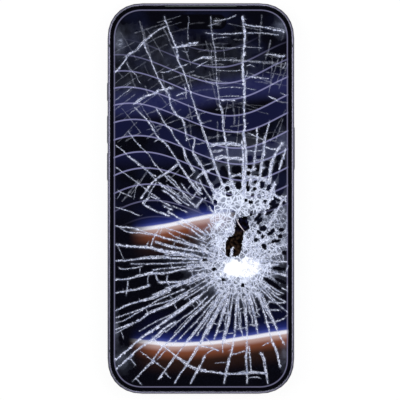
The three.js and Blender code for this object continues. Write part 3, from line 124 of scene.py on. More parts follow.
# The main cracks as pixels of the photo, each drawn through its corners.
CRACKS = (
    # Upper left
    (CLEAR, (164, 16), (168, 27), (171, 35), (177, 50), (178, 60), (183, 70), (189, 88), (195, 107),
     (200, 122)),
    (SOFT, (184, 84), (186, 91), (186, 98)),
    (CLEAR, (143, 41), (150, 58), (156, 73), (163, 87), (168, 93), (172, 107), (178, 116), (183, 121),
     (187, 140)),
    (CLEAR, (115, 73), (124, 62), (129, 55), (137, 50), (143, 43), (153, 34), (160, 29), (167, 26)),
    (SOFT, (115, 101), (126, 92), (133, 87)),
    (HAIR, (124, 88), (132, 82)),
    (STRONG, (133, 105), (140, 99), (146, 96), (153, 94), (161, 90), (174, 88)),
    (HAIR, (126, 62), (131, 70), (136, 75), (138, 80), (141, 84)),
    (STRONG, (172, 48), (178, 47), (190, 44), (197, 43)),
    (CLEAR, (192, 62), (198, 59), (205, 57), (213, 57)),
    (SOFT, (196, 68), (202, 64), (208, 61)),
    (CLEAR, (176, 96), (182, 93), (188, 92)),
    (SOFT, (160, 72), (166, 72), (175, 69), (182, 66), (188, 64)),
    (HAIR, (188, 16), (189, 20), (188, 28), (188, 40)),
    (HAIR, (181, 51), (187, 52), (189, 48)),
    # Upper right
    (STRONG, (243, 16), (244, 30), (245, 37), (243, 57), (243, 76), (244, 84), (244, 105), (244, 118)),
    (STRONG, (244, 118), (245, 127), (243, 133), (244, 139), (246, 155), (246, 165), (245, 180),
     (245, 195)),
    (SOFT, (211, 16), (211, 25), (213, 40), (215, 50), (216, 63), (217, 82), (218, 90), (220, 105)),
    (CLEAR, (220, 105), (222, 112), (223, 127), (225, 137), (227, 150), (228, 160), (229, 170), (230, 180)),
    (SOFT, (208, 26), (214, 24), (220, 24)),
    (CLEAR, (243, 24), (252, 26), (262, 27), (272, 29), (285, 32)),
    (SOFT, (213, 21), (222, 20), (230, 18), (236, 15)),
    (HAIR, (212, 39), (218, 38), (228, 37)),
    (CLEAR, (221, 101), (228, 100), (236, 101)),
    (CLEAR, (265, 55), (270, 54), (280, 56), (286, 55)),
    (CLEAR, (268, 96), (272, 98), (277, 100)),
    (SOFT, (280, 93), (286, 95)),
    (SOFT, (205, 33), (225, 34), (245, 33), (262, 33), (278, 35)),
    (HAIR, (213, 47), (230, 48), (246, 47), (262, 48)),
    (HAIR, (213, 61), (228, 60), (244, 61), (260, 62)),
    (HAIR, (216, 70), (230, 71), (244, 70)),
    (SOFT, (243, 76), (255, 77), (268, 79)),
    (HAIR, (218, 88), (232, 87), (244, 88), (256, 90)),
    (HAIR, (219, 97), (232, 96), (246, 97)),
    (SOFT, (246, 67), (250, 65), (255, 67)),
    (SOFT, (243, 80), (247, 74), (247, 70)),
    (SOFT, (283, 69), (286, 63)),
    # Middle left
    (CLEAR, (134, 107), (146, 119), (152, 127), (158, 137), (165, 143), (172, 152), (183, 170),
     (196, 188), (202, 195)),
    (CLEAR, (156, 108), (166, 125), (171, 130), (175, 138), (183, 148), (186, 157), (190, 164), (195, 172)),
    (SOFT, (128, 131), (133, 138), (138, 144), (145, 151), (150, 156), (154, 163), (163, 173)),
    (SOFT, (115, 145), (122, 150), (130, 158), (141, 165), (146, 169), (155, 179)),
    (SOFT, (115, 167), (124, 173), (131, 178), (138, 183), (152, 194), (160, 199)),
    (SOFT, (117, 190), (121, 192), (132, 197)),
    (HAIR, (121, 192), (117, 199)),
    (CLEAR, (140, 199), (147, 190), (152, 183), (158, 178), (170, 170), (177, 164)),
    (SOFT, (163, 174), (170, 181), (180, 190), (191, 200)),
    (SOFT, (167, 175), (175, 182), (185, 196)),
    (SOFT, (154, 142), (160, 139), (165, 142)),
    (SOFT, (186, 140), (190, 139), (196, 137)),
    (CLEAR, (195, 137), (194, 145), (193, 152), (197, 160), (201, 167)),
    (SOFT, (199, 113), (200, 122), (205, 123)),
    (CLEAR, (158, 182), (165, 188), (172, 192), (180, 198)),
    (HAIR, (139, 184), (136, 188), (134, 199)),
    # Middle right
    (CLEAR, (200, 120), (203, 130), (206, 138), (211, 152), (216, 168), (219, 175), (225, 190)),
    (STRONG, (230, 178), (232, 183), (235, 191)),
    (STRONG, (242, 140), (243, 152), (243, 171), (243, 190), (244, 199)),
    (SOFT, (246, 147), (246, 165), (244, 173)),
    (CLEAR, (257, 127), (257, 140), (255, 154), (254, 165), (251, 172), (250, 181), (249, 190)),
    (CLEAR, (270, 120), (267, 131), (265, 140), (264, 152), (262, 165), (261, 172), (259, 181)),
    (CLEAR, (259, 181), (257, 190), (254, 199)),
    (STRONG, (283, 142), (277, 151), (272, 161), (270, 171), (269, 181), (267, 191), (265, 200)),
    (CLEAR, (265, 200), (260, 210), (254, 218)),
    (STRONG, (286, 148), (282, 161), (277, 174), (274, 185), (271, 194), (269, 205), (264, 215)),
    (CLEAR, (287, 195), (280, 205), (275, 215), (270, 224), (265, 230)),
    (CLEAR, (195, 157), (201, 165), (207, 176), (212, 187), (217, 196), (221, 202)),
    (CLEAR, (195, 181), (200, 190), (206, 200), (211, 209), (215, 215)),
    (SOFT, (199, 179), (205, 190), (211, 199), (215, 205)),
    (CLEAR, (202, 170), (209, 181), (212, 190), (215, 196)),
    (CLEAR, (209, 147), (216, 145), (225, 144), (232, 144), (242, 146)),
    (SOFT, (211, 152), (217, 152), (224, 150)),
    (CLEAR, (214, 160), (222, 158), (229, 158), (236, 159), (242, 160)),
    (CLEAR, (196, 179), (201, 174), (209, 170), (216, 168)),
    (CLEAR, (230, 177), (237, 175), (243, 176)),
    (SOFT, (221, 181), (228, 182), (233, 182)),
    (CLEAR, (245, 169), (251, 170), (261, 167), (270, 170)),
    (STRONG, (245, 177), (254, 177), (261, 179), (269, 182)),
    (SOFT, (246, 151), (254, 151), (264, 150)),
    (SOFT, (254, 160), (263, 160)),
    (CLEAR, (265, 147), (272, 149), (281, 149)),
    (CLEAR, (246, 185), (254, 187), (260, 190), (269, 191)),
    (STRONG, (270, 191), (276, 196), (286, 201)),
    (SOFT, (272, 161), (276, 164), (281, 163)),
    (SOFT, (247, 133), (255, 136), (262, 139)),
    (CLEAR, (210, 145), (220, 143), (228, 143), (240, 144)),
    (SOFT, (212, 151), (222, 150)),
    (CLEAR, (215, 158), (222, 156), (230, 158), (240, 158)),
    (CLEAR, (207, 173), (212, 169), (217, 168)),
    (SOFT, (232, 176), (240, 174)),
    (CLEAR, (247, 177), (258, 177), (268, 180)),
    (CLEAR, (270, 192), (280, 195), (286, 199)),
    # Left of the blow
    (CLEAR, (150, 197), (143, 203), (150, 208), (158, 212), (170, 216)),
    (SOFT, (150, 196), (163, 202), (172, 207)),
    (SOFT, (115, 207), (128, 211), (140, 216)),
    (CLEAR, (115, 226), (122, 227), (133, 228), (145, 232), (165, 238), (190, 245), (205, 249)),
    (SOFT, (120, 228), (128, 232), (140, 233), (153, 235)),
    (STRONG, (115, 244), (125, 246), (140, 247), (152, 248), (165, 251), (195, 255)),
    (CLEAR, (115, 261), (130, 260), (150, 258), (170, 258), (190, 259), (205, 259)),
    (SOFT, (118, 267), (123, 269), (135, 268), (143, 266)),
    (CLEAR, (115, 279), (128, 279), (140, 275), (152, 273), (165, 273), (180, 270), (195, 268)),
    (CLEAR, (115, 293), (126, 291), (137, 289), (150, 285)),
    (CLEAR, (158, 282), (170, 282), (185, 281), (195, 276), (205, 273)),
    (CLEAR, (152, 295), (165, 291), (175, 286), (185, 281)),
    (SOFT, (160, 226), (157, 232), (154, 237), (151, 246)),
    (HAIR, (146, 247), (149, 241)),
    (HAIR, (171, 263), (172, 269)),
    (SOFT, (155, 273), (158, 280), (163, 284)),
    (HAIR, (140, 267), (140, 274)),
    (SOFT, (128, 280), (127, 290), (126, 296)),
    (CLEAR, (176, 222), (190, 229), (205, 240)),
    (CLEAR, (183, 195), (190, 202), (197, 207)),
    (SOFT, (197, 207), (202, 200)),
    (SOFT, (212, 262), (195, 262), (175, 263), (150, 264), (130, 264)),
    (SOFT, (212, 266), (190, 266), (170, 268), (152, 270)),
    (CLEAR, (208, 252), (190, 250), (172, 247), (155, 242)),
    (SOFT, (208, 243), (192, 237), (175, 231), (160, 226)),
    (CLEAR, (208, 236), (195, 228), (180, 219), (168, 212)),
    (SOFT, (213, 275), (198, 278), (180, 284), (165, 288)),
    # Lower left
    (SOFT, (205, 292), (190, 303), (172, 314), (155, 322), (140, 331)),
    (SOFT, (208, 296), (195, 309), (180, 320), (166, 332)),
    (CLEAR, (220, 290), (205, 305), (192, 317), (175, 335), (160, 350), (152, 362)),
    (SOFT, (214, 300), (203, 314), (190, 328), (178, 340)),
    (CLEAR, (222, 292), (210, 312), (197, 330), (188, 341)),
    (CLEAR, (225, 295), (215, 315), (203, 338)),
    (SOFT, (216, 303), (207, 320), (197, 335)),
    (SOFT, (200, 287), (184, 295), (168, 301), (150, 306), (130, 313), (115, 318)),
    (CLEAR, (115, 311), (125, 306), (137, 302), (150, 298), (163, 293), (170, 290)),
    (SOFT, (115, 323), (125, 320), (135, 314), (147, 307), (160, 299), (185, 289)),
    (SOFT, (115, 334), (125, 328), (133, 324)),
    (CLEAR, (115, 330), (128, 325), (140, 320), (150, 313), (168, 306), (178, 300), (188, 294)),
    (STRONG, (115, 361), (122, 354), (130, 348), (140, 339), (150, 332), (160, 325), (180, 311),
     (200, 296)),
    (STRONG, (115, 370), (122, 364), (130, 357), (137, 350), (155, 337), (165, 328), (175, 322)),
    (CLEAR, (132, 382), (138, 376), (147, 366), (154, 361)),
    (CLEAR, (158, 380), (164, 372), (170, 364), (176, 356), (182, 348), (188, 340)),
    (CLEAR, (174, 384), (180, 374), (186, 366), (192, 356), (198, 346), (203, 338)),
    (CLEAR, (190, 384), (197, 372), (201, 365), (205, 355)),
    (SOFT, (140, 351), (148, 357), (155, 362), (166, 370)),
    (CLEAR, (152, 336), (158, 343), (167, 349), (176, 356), (187, 364), (198, 369), (205, 370)),
    (SOFT, (130, 358), (136, 366)),
    (SOFT, (176, 358), (187, 362)),
    (SOFT, (164, 372), (170, 378)),
    (SOFT, (157, 360), (167, 349), (177, 340)),
    (SOFT, (136, 378), (142, 385)),
    # Lower right
    (CLEAR, (200, 345), (208, 325), (216, 312), (222, 300)),
    (CLEAR, (207, 335), (214, 318), (222, 303), (228, 292)),
    (CLEAR, (214, 340), (219, 325), (223, 312), (228, 300)),
    (CLEAR, (222, 345), (224, 335), (228, 322), (229, 312)),
    (CLEAR, (224, 384), (227, 370), (230, 357), (233, 345), (235, 330), (236, 312), (237, 298)),
    (CLEAR, (247, 384), (247, 372), (246, 357), (247, 345), (247, 330), (246, 312), (245, 297)),
    (SOFT, (251, 372), (250, 357), (249, 345)),
    (CLEAR, (258, 335), (255, 318), (251, 300), (248, 292)),
    (CLEAR, (268, 384), (266, 370), (264, 358), (260, 352)),
    (CLEAR, (280, 368), (277, 352), (272, 341), (269, 330), (262, 305), (257, 293)),
    (CLEAR, (285, 345), (278, 332), (272, 318), (265, 303), (260, 293)),
    (SOFT, (286, 302), (277, 297), (268, 290)),
    (CLEAR, (200, 371), (213, 372), (227, 374), (247, 373), (252, 372), (266, 373)),
    (CLEAR, (219, 351), (212, 348), (200, 346)),
    (SOFT, (222, 343), (233, 344)),
    (SOFT, (230, 354), (236, 354), (245, 351), (250, 354)),
    (SOFT, (262, 346), (270, 342)),
    (SOFT, (220, 313), (230, 313)),
    (SOFT, (249, 325), (257, 325)),
    (SOFT, (236, 329), (245, 328)),
    (SOFT, (268, 301), (280, 303), (286, 302)),
    (SOFT, (268, 310), (280, 310)),
    (SOFT, (265, 322), (275, 322), (285, 318)),
    # Finer lines left of the hole
    (SOFT, (128, 156), (134, 161), (141, 166), (147, 171), (155, 176)),
    (STRONG, (131, 158), (134, 160), (137, 162)),
    (HAIR, (166, 184), (173, 190), (180, 196), (186, 202)),
    (CLEAR, (162, 190), (169, 194), (175, 199), (181, 204)),
    (CLEAR, (163, 205), (168, 208), (173, 210)),
    (SOFT, (176, 195), (182, 201), (190, 206)),
    (SOFT, (181, 183), (186, 190), (192, 197)),
    (HAIR, (187, 190), (191, 185), (197, 181)),
    (SOFT, (190, 200), (194, 196), (198, 190), (203, 187)),
    (CLEAR, (196, 207), (199, 203), (203, 199)),
    (HAIR, (172, 206), (180, 209), (188, 213)),
    (SOFT, (148, 197), (152, 189), (155, 185), (157, 182)),
)

# Dark windows left between the crushed pieces, in mm: middle, half length, half width, turn in degrees.
DARK_GAPS = (
    # Above the hole
    (1.8, 14.7, 1.5, 0.9, 160),
    (7.8, 14.3, 1.2, 0.65, 0),
    (18.7, 15.4, 1.15, 1.0, 90),
    (22.1, 15.9, 0.7, 0.45, 0),
    (25.5, 13.4, 1.2, 1.0, 90),
    (29.7, 15.5, 1.0, 0.75, 70),
    (31.6, 13.7, 0.95, 0.45, 90),
    (2.9, 12.1, 1.35, 0.75, 0),
    (-0.2, 11.2, 1.3, 0.5, 90),
    (18.7, 12.1, 1.0, 0.65, 0),
    (21.7, 11.6, 1.2, 0.55, 90),
    (4.25, 8.8, 2.3, 1.5, 80),
    (8.7, 9.2, 2.9, 1.45, 95),
    (13.8, 11.0, 1.8, 1.5, 0),
    (14.0, 7.6, 1.15, 0.8, 0),
    (14.3, 4.9, 1.45, 1.1, 90),
    (18.3, 9.7, 0.9, 0.7, 90),
    (24.6, 9.9, 2.0, 0.7, 65),
    (21.5, 8.7, 0.9, 0.5, 0),
    (28.6, 10.3, 3.7, 0.95, 78),
    (31.2, 7.7, 4.2, 1.2, 85),
    (30.1, 3.4, 2.3, 1.5, 80),
    (1.1, 7.0, 1.9, 0.6, 105),
    (0.9, 1.7, 1.4, 0.9, 110),
    (3.2, 3.0, 2.0, 0.9, 110),
    (6.2, 5.0, 1.5, 0.5, 30),
    (10.1, 3.7, 0.95, 0.85, 0),
    (10.8, 1.5, 1.05, 0.85, 0),
    (18.0, 4.6, 1.9, 0.6, 90),
    (20.6, 3.7, 0.65, 0.6, 0),
    (20.8, 6.4, 0.6, 0.4, 45),
    (23.5, 5.5, 1.5, 0.7, 80),
    (25.9, 4.2, 1.4, 0.55, 75),
    # Beside the hole
    (29.0, 0.0, 1.4, 0.6, 150),
    (27.4, -1.7, 1.3, 0.9, 30),
    (28.4, -2.9, 1.5, 0.8, 20),
    (26.1, -4.7, 1.9, 0.9, 45),
    (31.7, -1.8, 0.9, 0.55, 90),
    (2.7, -1.1, 1.7, 0.6, 112),
    (4.3, -3.4, 1.25, 0.55, 110),
    (5.5, -1.6, 0.95, 0.6, 100),
    (0.7, -3.4, 1.8, 1.3, 110),
    (2.9, -5.8, 1.3, 0.9, 150),
    (19.1, -1.4, 0.8, 0.55, 0),
    (17.3, -0.7, 0.5, 0.5, 0),
    (19.9, 1.1, 0.75, 0.4, 20),
    (24.5, -1.0, 0.55, 0.45, 0),
    (19.2, -5.8, 0.9, 0.4, 65),
    (21.7, -7.1, 1.7, 0.5, 55),
    (22.4, -8.6, 1.5, 0.5, 50),
    (23.8, -11.4, 1.3, 0.95, 10),
    (26.9, -12.8, 1.9, 0.55, 42),
    (22.2, -12.9, 0.8, 0.4, 135),
    (30.8, -12.0, 0.9, 0.5, 0),
    (23.7, -14.6, 0.8, 0.6, 0),
    (30.3, -14.4, 0.8, 0.6, 0),
    (12.3, -5.6, 0.5, 0.9, 0),
    # Round the blow
    (21.0, -15.8, 0.8, 0.7, 0),
    (24.2, -18.4, 1.1, 0.8, 120),
    (28.6, -16.4, 1.6, 0.5, 15),
    (32.2, -20.7, 1.2, 0.6, 0),
    (1.4, -23.5, 0.9, 0.5, 0),
    (5.2, -27.1, 0.8, 0.5, 0),
    (29.5, -26.8, 2.6, 0.5, 175),
    (27.5, -32.6, 4.2, 0.7, 147),
    (30.5, -31.5, 2.4, 0.4, 155),
    (16.0, -33.2, 0.5, 0.6, 0),
    (8.6, -31.0, 0.6, 0.6, 0),
)

# Pale films on the glass, in mm: middle, reach across and along, and how white.
FILMS = (
    (-14.0, 48.0, 22.0, 22.0, 0.04),
    (14.0, 52.0, 20.0, 20.0, 0.03),
    (-15.0, 53.0, 10.0, 10.0, 0.06),
    (-31.5, 59.5, 2.4, 5.5, 0.5),
    (-26.0, 62.0, 7.0, 5.0, 0.08),
    (-29.0, 42.0, 6.0, 8.0, 0.06),
    (31.4, 21.0, 2.6, 5.0, 0.4),
    (8.0, 48.0, 14.0, 10.0, 0.03),
    (31.0, 66.0, 3.0, 4.0, 0.4),
    (-30.5, -62.0, 4.0, 5.0, 0.26),
    (32.0, -60.0, 1.8, 6.0, 0.32),
    (-32.4, -50.0, 1.2, 7.0, 0.3),
)

# The crushed bed, in mm: middle, reach across and along, and how thick it lies.
BEDS = (
    (8.4, -9.0, 5.0, 13.5, 0.82),
    (12.6, 1.6, 8.0, 4.6, 0.76),
    (15.5, -3.4, 7.0, 4.6, 0.7),
    (20.5, 1.5, 9.0, 6.0, 0.44),
    (19.0, -15.5, 5.0, 9.0, 0.42),
    (28.5, -10.5, 7.0, 14.0, 0.4),
    (15.0, -28.5, 14.0, 8.5, 0.46),
    (14.0, -26.0, 20.0, 14.0, 0.12),
    (17.0, 9.0, 18.0, 14.0, 0.16),
    (2.0, -8.0, 8.0, 9.0, 0.16),
)

# Three ovals in mm: the crushed zone that reaches up from the blow, the net of small windows over it,
# and the white core.
CRUSHED_MIDDLE = (17.0, -9.5)
CRUSHED_REACH = (16.5, 23.0)
LATTICE_MIDDLE = (17.0, 9.0)
LATTICE_REACH = (18.0, 15.0)
CORE_MIDDLE = (15.0, -26.8)
CORE_REACH = (8.8, 4.7)

# A crack's section: offset across as a share of its width, whiteness, and depth in mm.
CRACK_SECTION = (
    (-0.62, 0.0, 0.03),
    (-0.26, 0.7, 0.05),
    (0.0, 1.2, 0.1),
    (0.26, 0.7, 0.05),
    (0.62, 0.0, 0.03),
)

# The steps along a crack, and how far it strays over bends of what length, in mm.
CRACK_STEP = 0.45
WANDER = 0.18
WANDER_BEND = 1.5
SHIVER = 0.12
SHIVER_BEND = 0.6

# How wide and how white a crack is: far off, and what the blow and the net of windows add to that.
SWELL = (0.78, 0.5, 0.15)
PALENESS = (0.84, 0.48, 0.22)

# The share of its width that a crack has at its ends, and where it stops at a dark window, whose edge is 1.
CRACK_TIP = 0.35
GAP_MARGIN = 1.05

# Chips and short spurs along the main cracks: how far apart in mm, and how often.
CHIP_STEP = 0.9
CHIP_CHANCE = 0.42
SPUR_CHANCE = 0.2

# The spokes from the blow: how many, and how far one bends, in degrees at a radius in mm.
WEB_SPOKES = 66
SPOKE_STEPS = 7
SPOKE_BEND = 5
BEND_RADIUS = 30

# The rungs between the spokes: their radii in mm, up to where they lie close, the last one above the blow,
# and how many degrees they reach past their spokes.
WEB_RINGS = (4.6, 6.2, 7.9, 9.6, 11.4, 13.3, 15.4, 17.6, 20.0, 22.3, 24.6, 27.0, 29.4, 31.8, 34.2)
CLOSE_RUNGS = 20
LAST_RUNG_ABOVE = 24
RUNG_OVERLAP = 0.6

# Fine cracks between the main ones: how many, and in mm their steps, those along the cracks they start
# from, and how near is a touch.
FINE_COUNT = 560
FINE_STEP = 0.4
FINE_SAMPLE = 0.35
TOUCHING = 0.3

# Faint cracks over the upper part: how many, and in mm how far they spread and where most of them lie.
FAINT_COUNT = 130
FAINT_HALF_WIDTH = 33
FAINT_TOP = 71
FAINT_PEAK = 55

# The shards: how far from the rim a cut stops and how near two corners are one, in mm, and the tips.
CUT_MARGIN = 0.3
SAME_CORNER = 0.02
STEEPEST_TIP = 0.04
MOST_DROP = 0.05

# The frost: its grid, the steps along a crack and how far to look for one, in mm, and its limits.
FROST_STEP = 0.4
HALO_STEP = 0.35
HALO_SEARCH = 1.5
LEAST_FROST = 0.015
MOST_FROST = 1.3

# The crumbs: how many, and where they lie most, in mm.
CRUMBS = 600
CRUMB_MIDDLE = (16.5, -20.0)
CRUMB_SPREAD = (8.0, 11.0)

# The splinter across the hole, in mm: its line, its width and height, and the steps along it.
SPLINTER = ((13.5, -7.5), (14.6, -9.9), (16.9, -12.9))
SPLINTER_WIDTH = 0.34
SPLINTER_DEPTH = 0.12
SPLINTER_STEP = 0.5

# How deep each layer of broken glass lies under the top of the glass, in mm.
SHARD_SINK = 0.01
FLAKE_SINK = 0.05
FLAKE_MIDDLE_SINK = 0.08
CRUMB_SINK = 0.06
FROST_SINK = 0.12

# Edges sharper than this stay sharp, in degrees.
SMOOTH_ANGLE = 38

# The holes of the woven mesh, in mm from one to the next.
WEAVE = 0.3

# Beyond this many times its size, a dark window no longer counts.
FAR_FROM_GAPS = 3.0

# The room: the floor's reach and the lamps' size in metres, and the camera's lens and sensor in mm.
FLOOR_REACH = 2.5
LAMP_SIZE = 0.34
LENS = 100
SENSOR = 36

RANDOM = random.Random(11)


def colour(red, green, blue):
    """A screen colour, 0 to 255, as Blender's linear one."""
    linear = []
    for part in (red, green, blue):
        share = part / 255
        linear.append(share / 12.92 if share <= 0.04045 else ((share + 0.055) / 1.055) ** 2.4)
    return (*linear, 1.0)


def place(pixel):
    """The point in mm under a pixel of the photo."""
    return ((pixel[0] - MIDDLE_PIXEL[0]) * PIXEL, (MIDDLE_PIXEL[1] - pixel[1]) * PIXEL)


def beyond(point, reach, turn):
    """The point that lies a reach away from another, along a turn in radians."""
    return (point[0] + reach * math.cos(turn), point[1] + reach * math.sin(turn))


def polar(radius, turn):
    """A point at a distance in mm and a turn in degrees from the blow."""
    return beyond(IMPACT, radius, math.radians(turn))


def outline(inset, steps=14):
    """The body's outline in mm, moved in by inset, anticlockwise."""
    reach = CORNER - inset
    points = []
    for quarter, (side, end) in enumerate(((1, 1), (-1, 1), (-1, -1), (1, -1))):
        for step in range(steps + 1):
            turn = math.pi / 2 * step / steps
            across, along = math.cos(turn), math.sin(turn)
            if quarter % 2:
                across, along = along, across
            x = HALF_WIDTH - CORNER + reach * across ** (2 / SOFTNESS)
            y = HALF_LENGTH - CORNER + reach * along ** (2 / SOFTNESS)
            points.append((side * x, end * y))
    return points


def depth_inside(point):
    """How far a point is inside the body's outline, in mm."""
    across = max(abs(point[0]) - HALF_WIDTH + CORNER, 0)
    along = max(abs(point[1]) - HALF_LENGTH + CORNER, 0)
    return CORNER - (across**SOFTNESS + along**SOFTNESS) ** (1 / SOFTNESS)


def pill(width, height, steps=10):
    """A bar with round ends, in mm, anticlockwise about the origin."""
    radius = height / 2
    points = []
    for end in (1, -1):
        for step in range(steps + 1):
            turn = math.pi * (step / steps - 0.5)
            x = width / 2 - radius + radius * math.cos(turn)
            points.append((end * x, end * radius * math.sin(turn)))
    return points


def circle(middle, radius, steps=24):
    return [beyond(middle, radius, math.tau * step / steps) for step in range(steps)]


def moved(points, across, along):
    return [(x + across, y + along) for x, y in points]


def is_in(point, polygon):
    """True if a point is inside a polygon."""
    inside = False
    previous = polygon[-1]
    for corner in polygon:
        if (corner[1] > point[1]) != (previous[1] > point[1]):
            share = (point[1] - corner[1]) / (previous[1] - corner[1])
            if point[0] < corner[0] + share * (previous[0] - corner[0]):
                inside = not inside
        previous = corner
    return inside


def clamp(value):
    return min(max(value, 0), 1)


def wave(x, y, size, seed):
    """Smooth noise from 0 to 1, whose bumps are about size mm across."""
    return 0.5 + 0.5 * noise.noise(Vector((x / size, y / size, seed)))


def sway(point, size, seed):
    """Smooth noise from -1 to 1."""
    return 2 * (wave(*point, size, seed) - 0.5)


def from_impact(point):
    return math.hypot(point[0] - IMPACT[0], point[1] - IMPACT[1])


def nearness(point, reach):
    """1 at the blow, and 0 from reach mm on."""
    return max(1 - from_impact(point) / reach, 0)


def oval(point, middle, reach):
    """0 at the middle of an oval and 1 at its edge."""
    return math.hypot((point[0] - middle[0]) / reach[0], (point[1] - middle[1]) / reach[1])


def crushed(point):
    """How finely the glass is crushed, from 0 to 1."""
    edge = oval(point, CRUSHED_MIDDLE, CRUSHED_REACH) + 0.3 * (wave(*point, 7, 3) - 0.5)
    near = 16 - from_impact(point) + 6 * (wave(*point, 5, 5) - 0.5)
    return max(clamp((1.1 - edge) / 0.28), clamp(near / 8))


HOLE = moved(MISSING_GLASS, *IMPACT)
GAPS = [
    (x, y, math.cos(math.radians(turn)), math.sin(math.radians(turn)), length, width)
    for x, y, length, width, turn in DARK_GAPS
]


def gap_distance(point):
    """Below 1 in a dark window or where the glass is gone, and above 1 outside them."""
    if is_in(point, HOLE):
        return 0.0
    nearest = FAR_FROM_GAPS
    for x, y, cosine, sine, length, width in GAPS:
        across = point[0] - x
        along = point[1] - y
        if abs(across) + abs(along) > FAR_FROM_GAPS * length:
            continue
        far = (across * cosine + along * sine) / length
        near = (along * cosine - across * sine) / width
        nearest = min(nearest, math.hypot(far, near))
    return nearest


def in_gap(point, grow=1.0):
    return gap_distance(point) < grow


class Value:
    """A number in a material's nodes, so that a pattern reads as plain arithmetic."""

    def __init__(self, tree, socket):
        self.tree = tree
        self.socket = socket

    def work(self, operation, *others):
        node = self.tree.nodes.new("ShaderNodeMath")
        node.operation = operation
        for slot, term in enumerate((self, *others)):
            feed(self.tree, term, node.inputs[slot])
        return Value(self.tree, node.outputs[0])

    __add__ = partialmethod(work, "ADD")
    __sub__ = partialmethod(work, "SUBTRACT")
    __mul__ = partialmethod(work, "MULTIPLY")
    __truediv__ = partialmethod(work, "DIVIDE")
    at_least = partialmethod(work, "MAXIMUM")
    at_most = partialmethod(work, "MINIMUM")
    power = partialmethod(work, "POWER")
    sine = partialmethod(work, "SINE")
    size = partialmethod(work, "ABSOLUTE")
    fraction = partialmethod(work, "FRACT")

    def rise(self, start, end):
        """A smooth step from 0 at start to 1 at end, which may lie below start."""
        node = self.tree.nodes.new("ShaderNodeMapRange")
        node.interpolation_type = "SMOOTHSTEP"
        feed(self.tree, self, node.inputs["Value"])
        low, high = (0.0, 1.0) if start < end else (1.0, 0.0)
        node.inputs["From Min"].default_value = min(start, end)
        node.inputs["From Max"].default_value = max(start, end)
        node.inputs["To Min"].default_value = low
        node.inputs["To Max"].default_value = high
        return Value(self.tree, node.outputs[0])

    def band(self, middle, half, soft):
        """1 within half of middle, and fading to 0 over soft."""
        return (self - middle).size().rise(half + soft, half)


def feed(tree, term, socket):
    """Links a value or another node's socket to a socket, or sets the socket to a constant."""
    if isinstance(term, Value):
        tree.links.new(term.socket, socket)
    elif hasattr(term, "is_output"):
        tree.links.new(term, socket)
    else:
        socket.default_value = term


class Finish:
    """A new material with one Principled shader, and short ways to its textures."""

    def __init__(self, name, **settings):
        self.material = bpy.data.materials.new(name)
        self.material.use_nodes = True
        self.tree = self.material.node_tree
        self.shader = self.tree.nodes["Principled BSDF"]
        self.out = self.tree.nodes["Material Output"]
        self.where = self.node("TexCoord").outputs["Object"]
        for socket, term in settings.items():
            self.set(socket.replace("_", " "), term)

    def node(self, kind, **terms):
        """A new node, with some of its sockets fed."""
        made = self.tree.nodes.new("ShaderNode" + kind)
        for socket, term in terms.items():
            feed(self.tree, term, made.inputs[socket])
        return made

    def value(self, output):
        return Value(self.tree, output)

    def set(self, socket, term):
        feed(self.tree, term, self.shader.inputs[socket])

    def place(self):
        """X, Y and Z on the part, in mm."""
        parts = self.node("SeparateXYZ", Vector=self.where)
        return [self.value(output) / MM for output in parts.outputs]

    def inward(self):
        """How far inside the body's outline, in mm."""
        x, y, _ = self.place()
        across = (x.size() - (HALF_WIDTH - CORNER)).at_least(0.0)
        along = (y.size() - (HALF_LENGTH - CORNER)).at_least(0.0)
        reach = (across.power(SOFTNESS) + along.power(SOFTNESS)).power(1 / SOFTNESS)
        return reach * -1 + CORNER

    def noise(self, size, detail=3.0, stretch=None):
        """Noise from 0 to 1, whose bumps are about size mm across, or less along a stretched axis."""
        where = self.where
        if stretch:
            where = self.node("Mapping", Vector=where, Scale=stretch).outputs[0]
        made = self.node("TexNoise", Vector=where, Scale=1 / (size * MM), Detail=detail)
        return self.value(made.outputs["Fac"])

    def net(self, size, outer, inner):
        """The lines between broken cells about size mm across: 0 from outer on and 1 within inner."""
        made = self.node("TexVoronoi", Vector=self.where, Scale=1 / (size * MM))
        made.feature = "DISTANCE_TO_EDGE"
        return self.value(made.outputs["Distance"]).rise(outer, inner)

    def painted(self, name):
        """A value that the mesh holds at each point."""
        made = self.node("Attribute")
        made.attribute_name = name
        return self.value(made.outputs["Fac"])

    def facing(self, blend=0.5):
        """0 where the surface is looked at squarely, and up to 1 at a slant."""
        return self.value(self.node("LayerWeight", Blend=blend).outputs["Facing"])

    def mix(self, share, *colours):
        """Goes from one colour to another, each of them a screen colour or a socket."""
        made = self.node("Mix")
        made.data_type = "RGBA"
        feed(self.tree, share, made.inputs[0])
        sockets = [socket for socket in made.inputs if socket.type == "RGBA"]
        for tint, socket in zip(colours, sockets):
            feed(self.tree, colour(*tint) if isinstance(tint, tuple) else tint, socket)
        return [socket for socket in made.outputs if socket.type == "RGBA"][0]

    def paint(self, share, *colours):
        """Colours the surface between two colours."""
        self.set("Base Color", self.mix(share, *colours))

    def bump(self, height, depth):
        """Raises the surface by a height from 0 to 1 times depth mm."""
        self.set("Normal", self.node("Bump", Height=height, Distance=depth * MM).outputs[0])

    def blend(self, share, first, second):
        """Shows the first shader, and the second by a share."""
        made = self.node("MixShader", Fac=share)
        self.tree.links.new(first.outputs[0], made.inputs[1])
        self.tree.links.new(second.outputs[0], made.inputs[2])
        self.tree.links.new(made.outputs[0], self.out.inputs["Surface"])


def add_to_scene(name, data):
    made = bpy.data.objects.new(name, data)
    bpy.context.scene.collection.objects.link(made)
    return made


def each(value, count):
    """A list of values as it is, or one value as often as it is needed."""
    return value if isinstance(value, list) else [value] * count


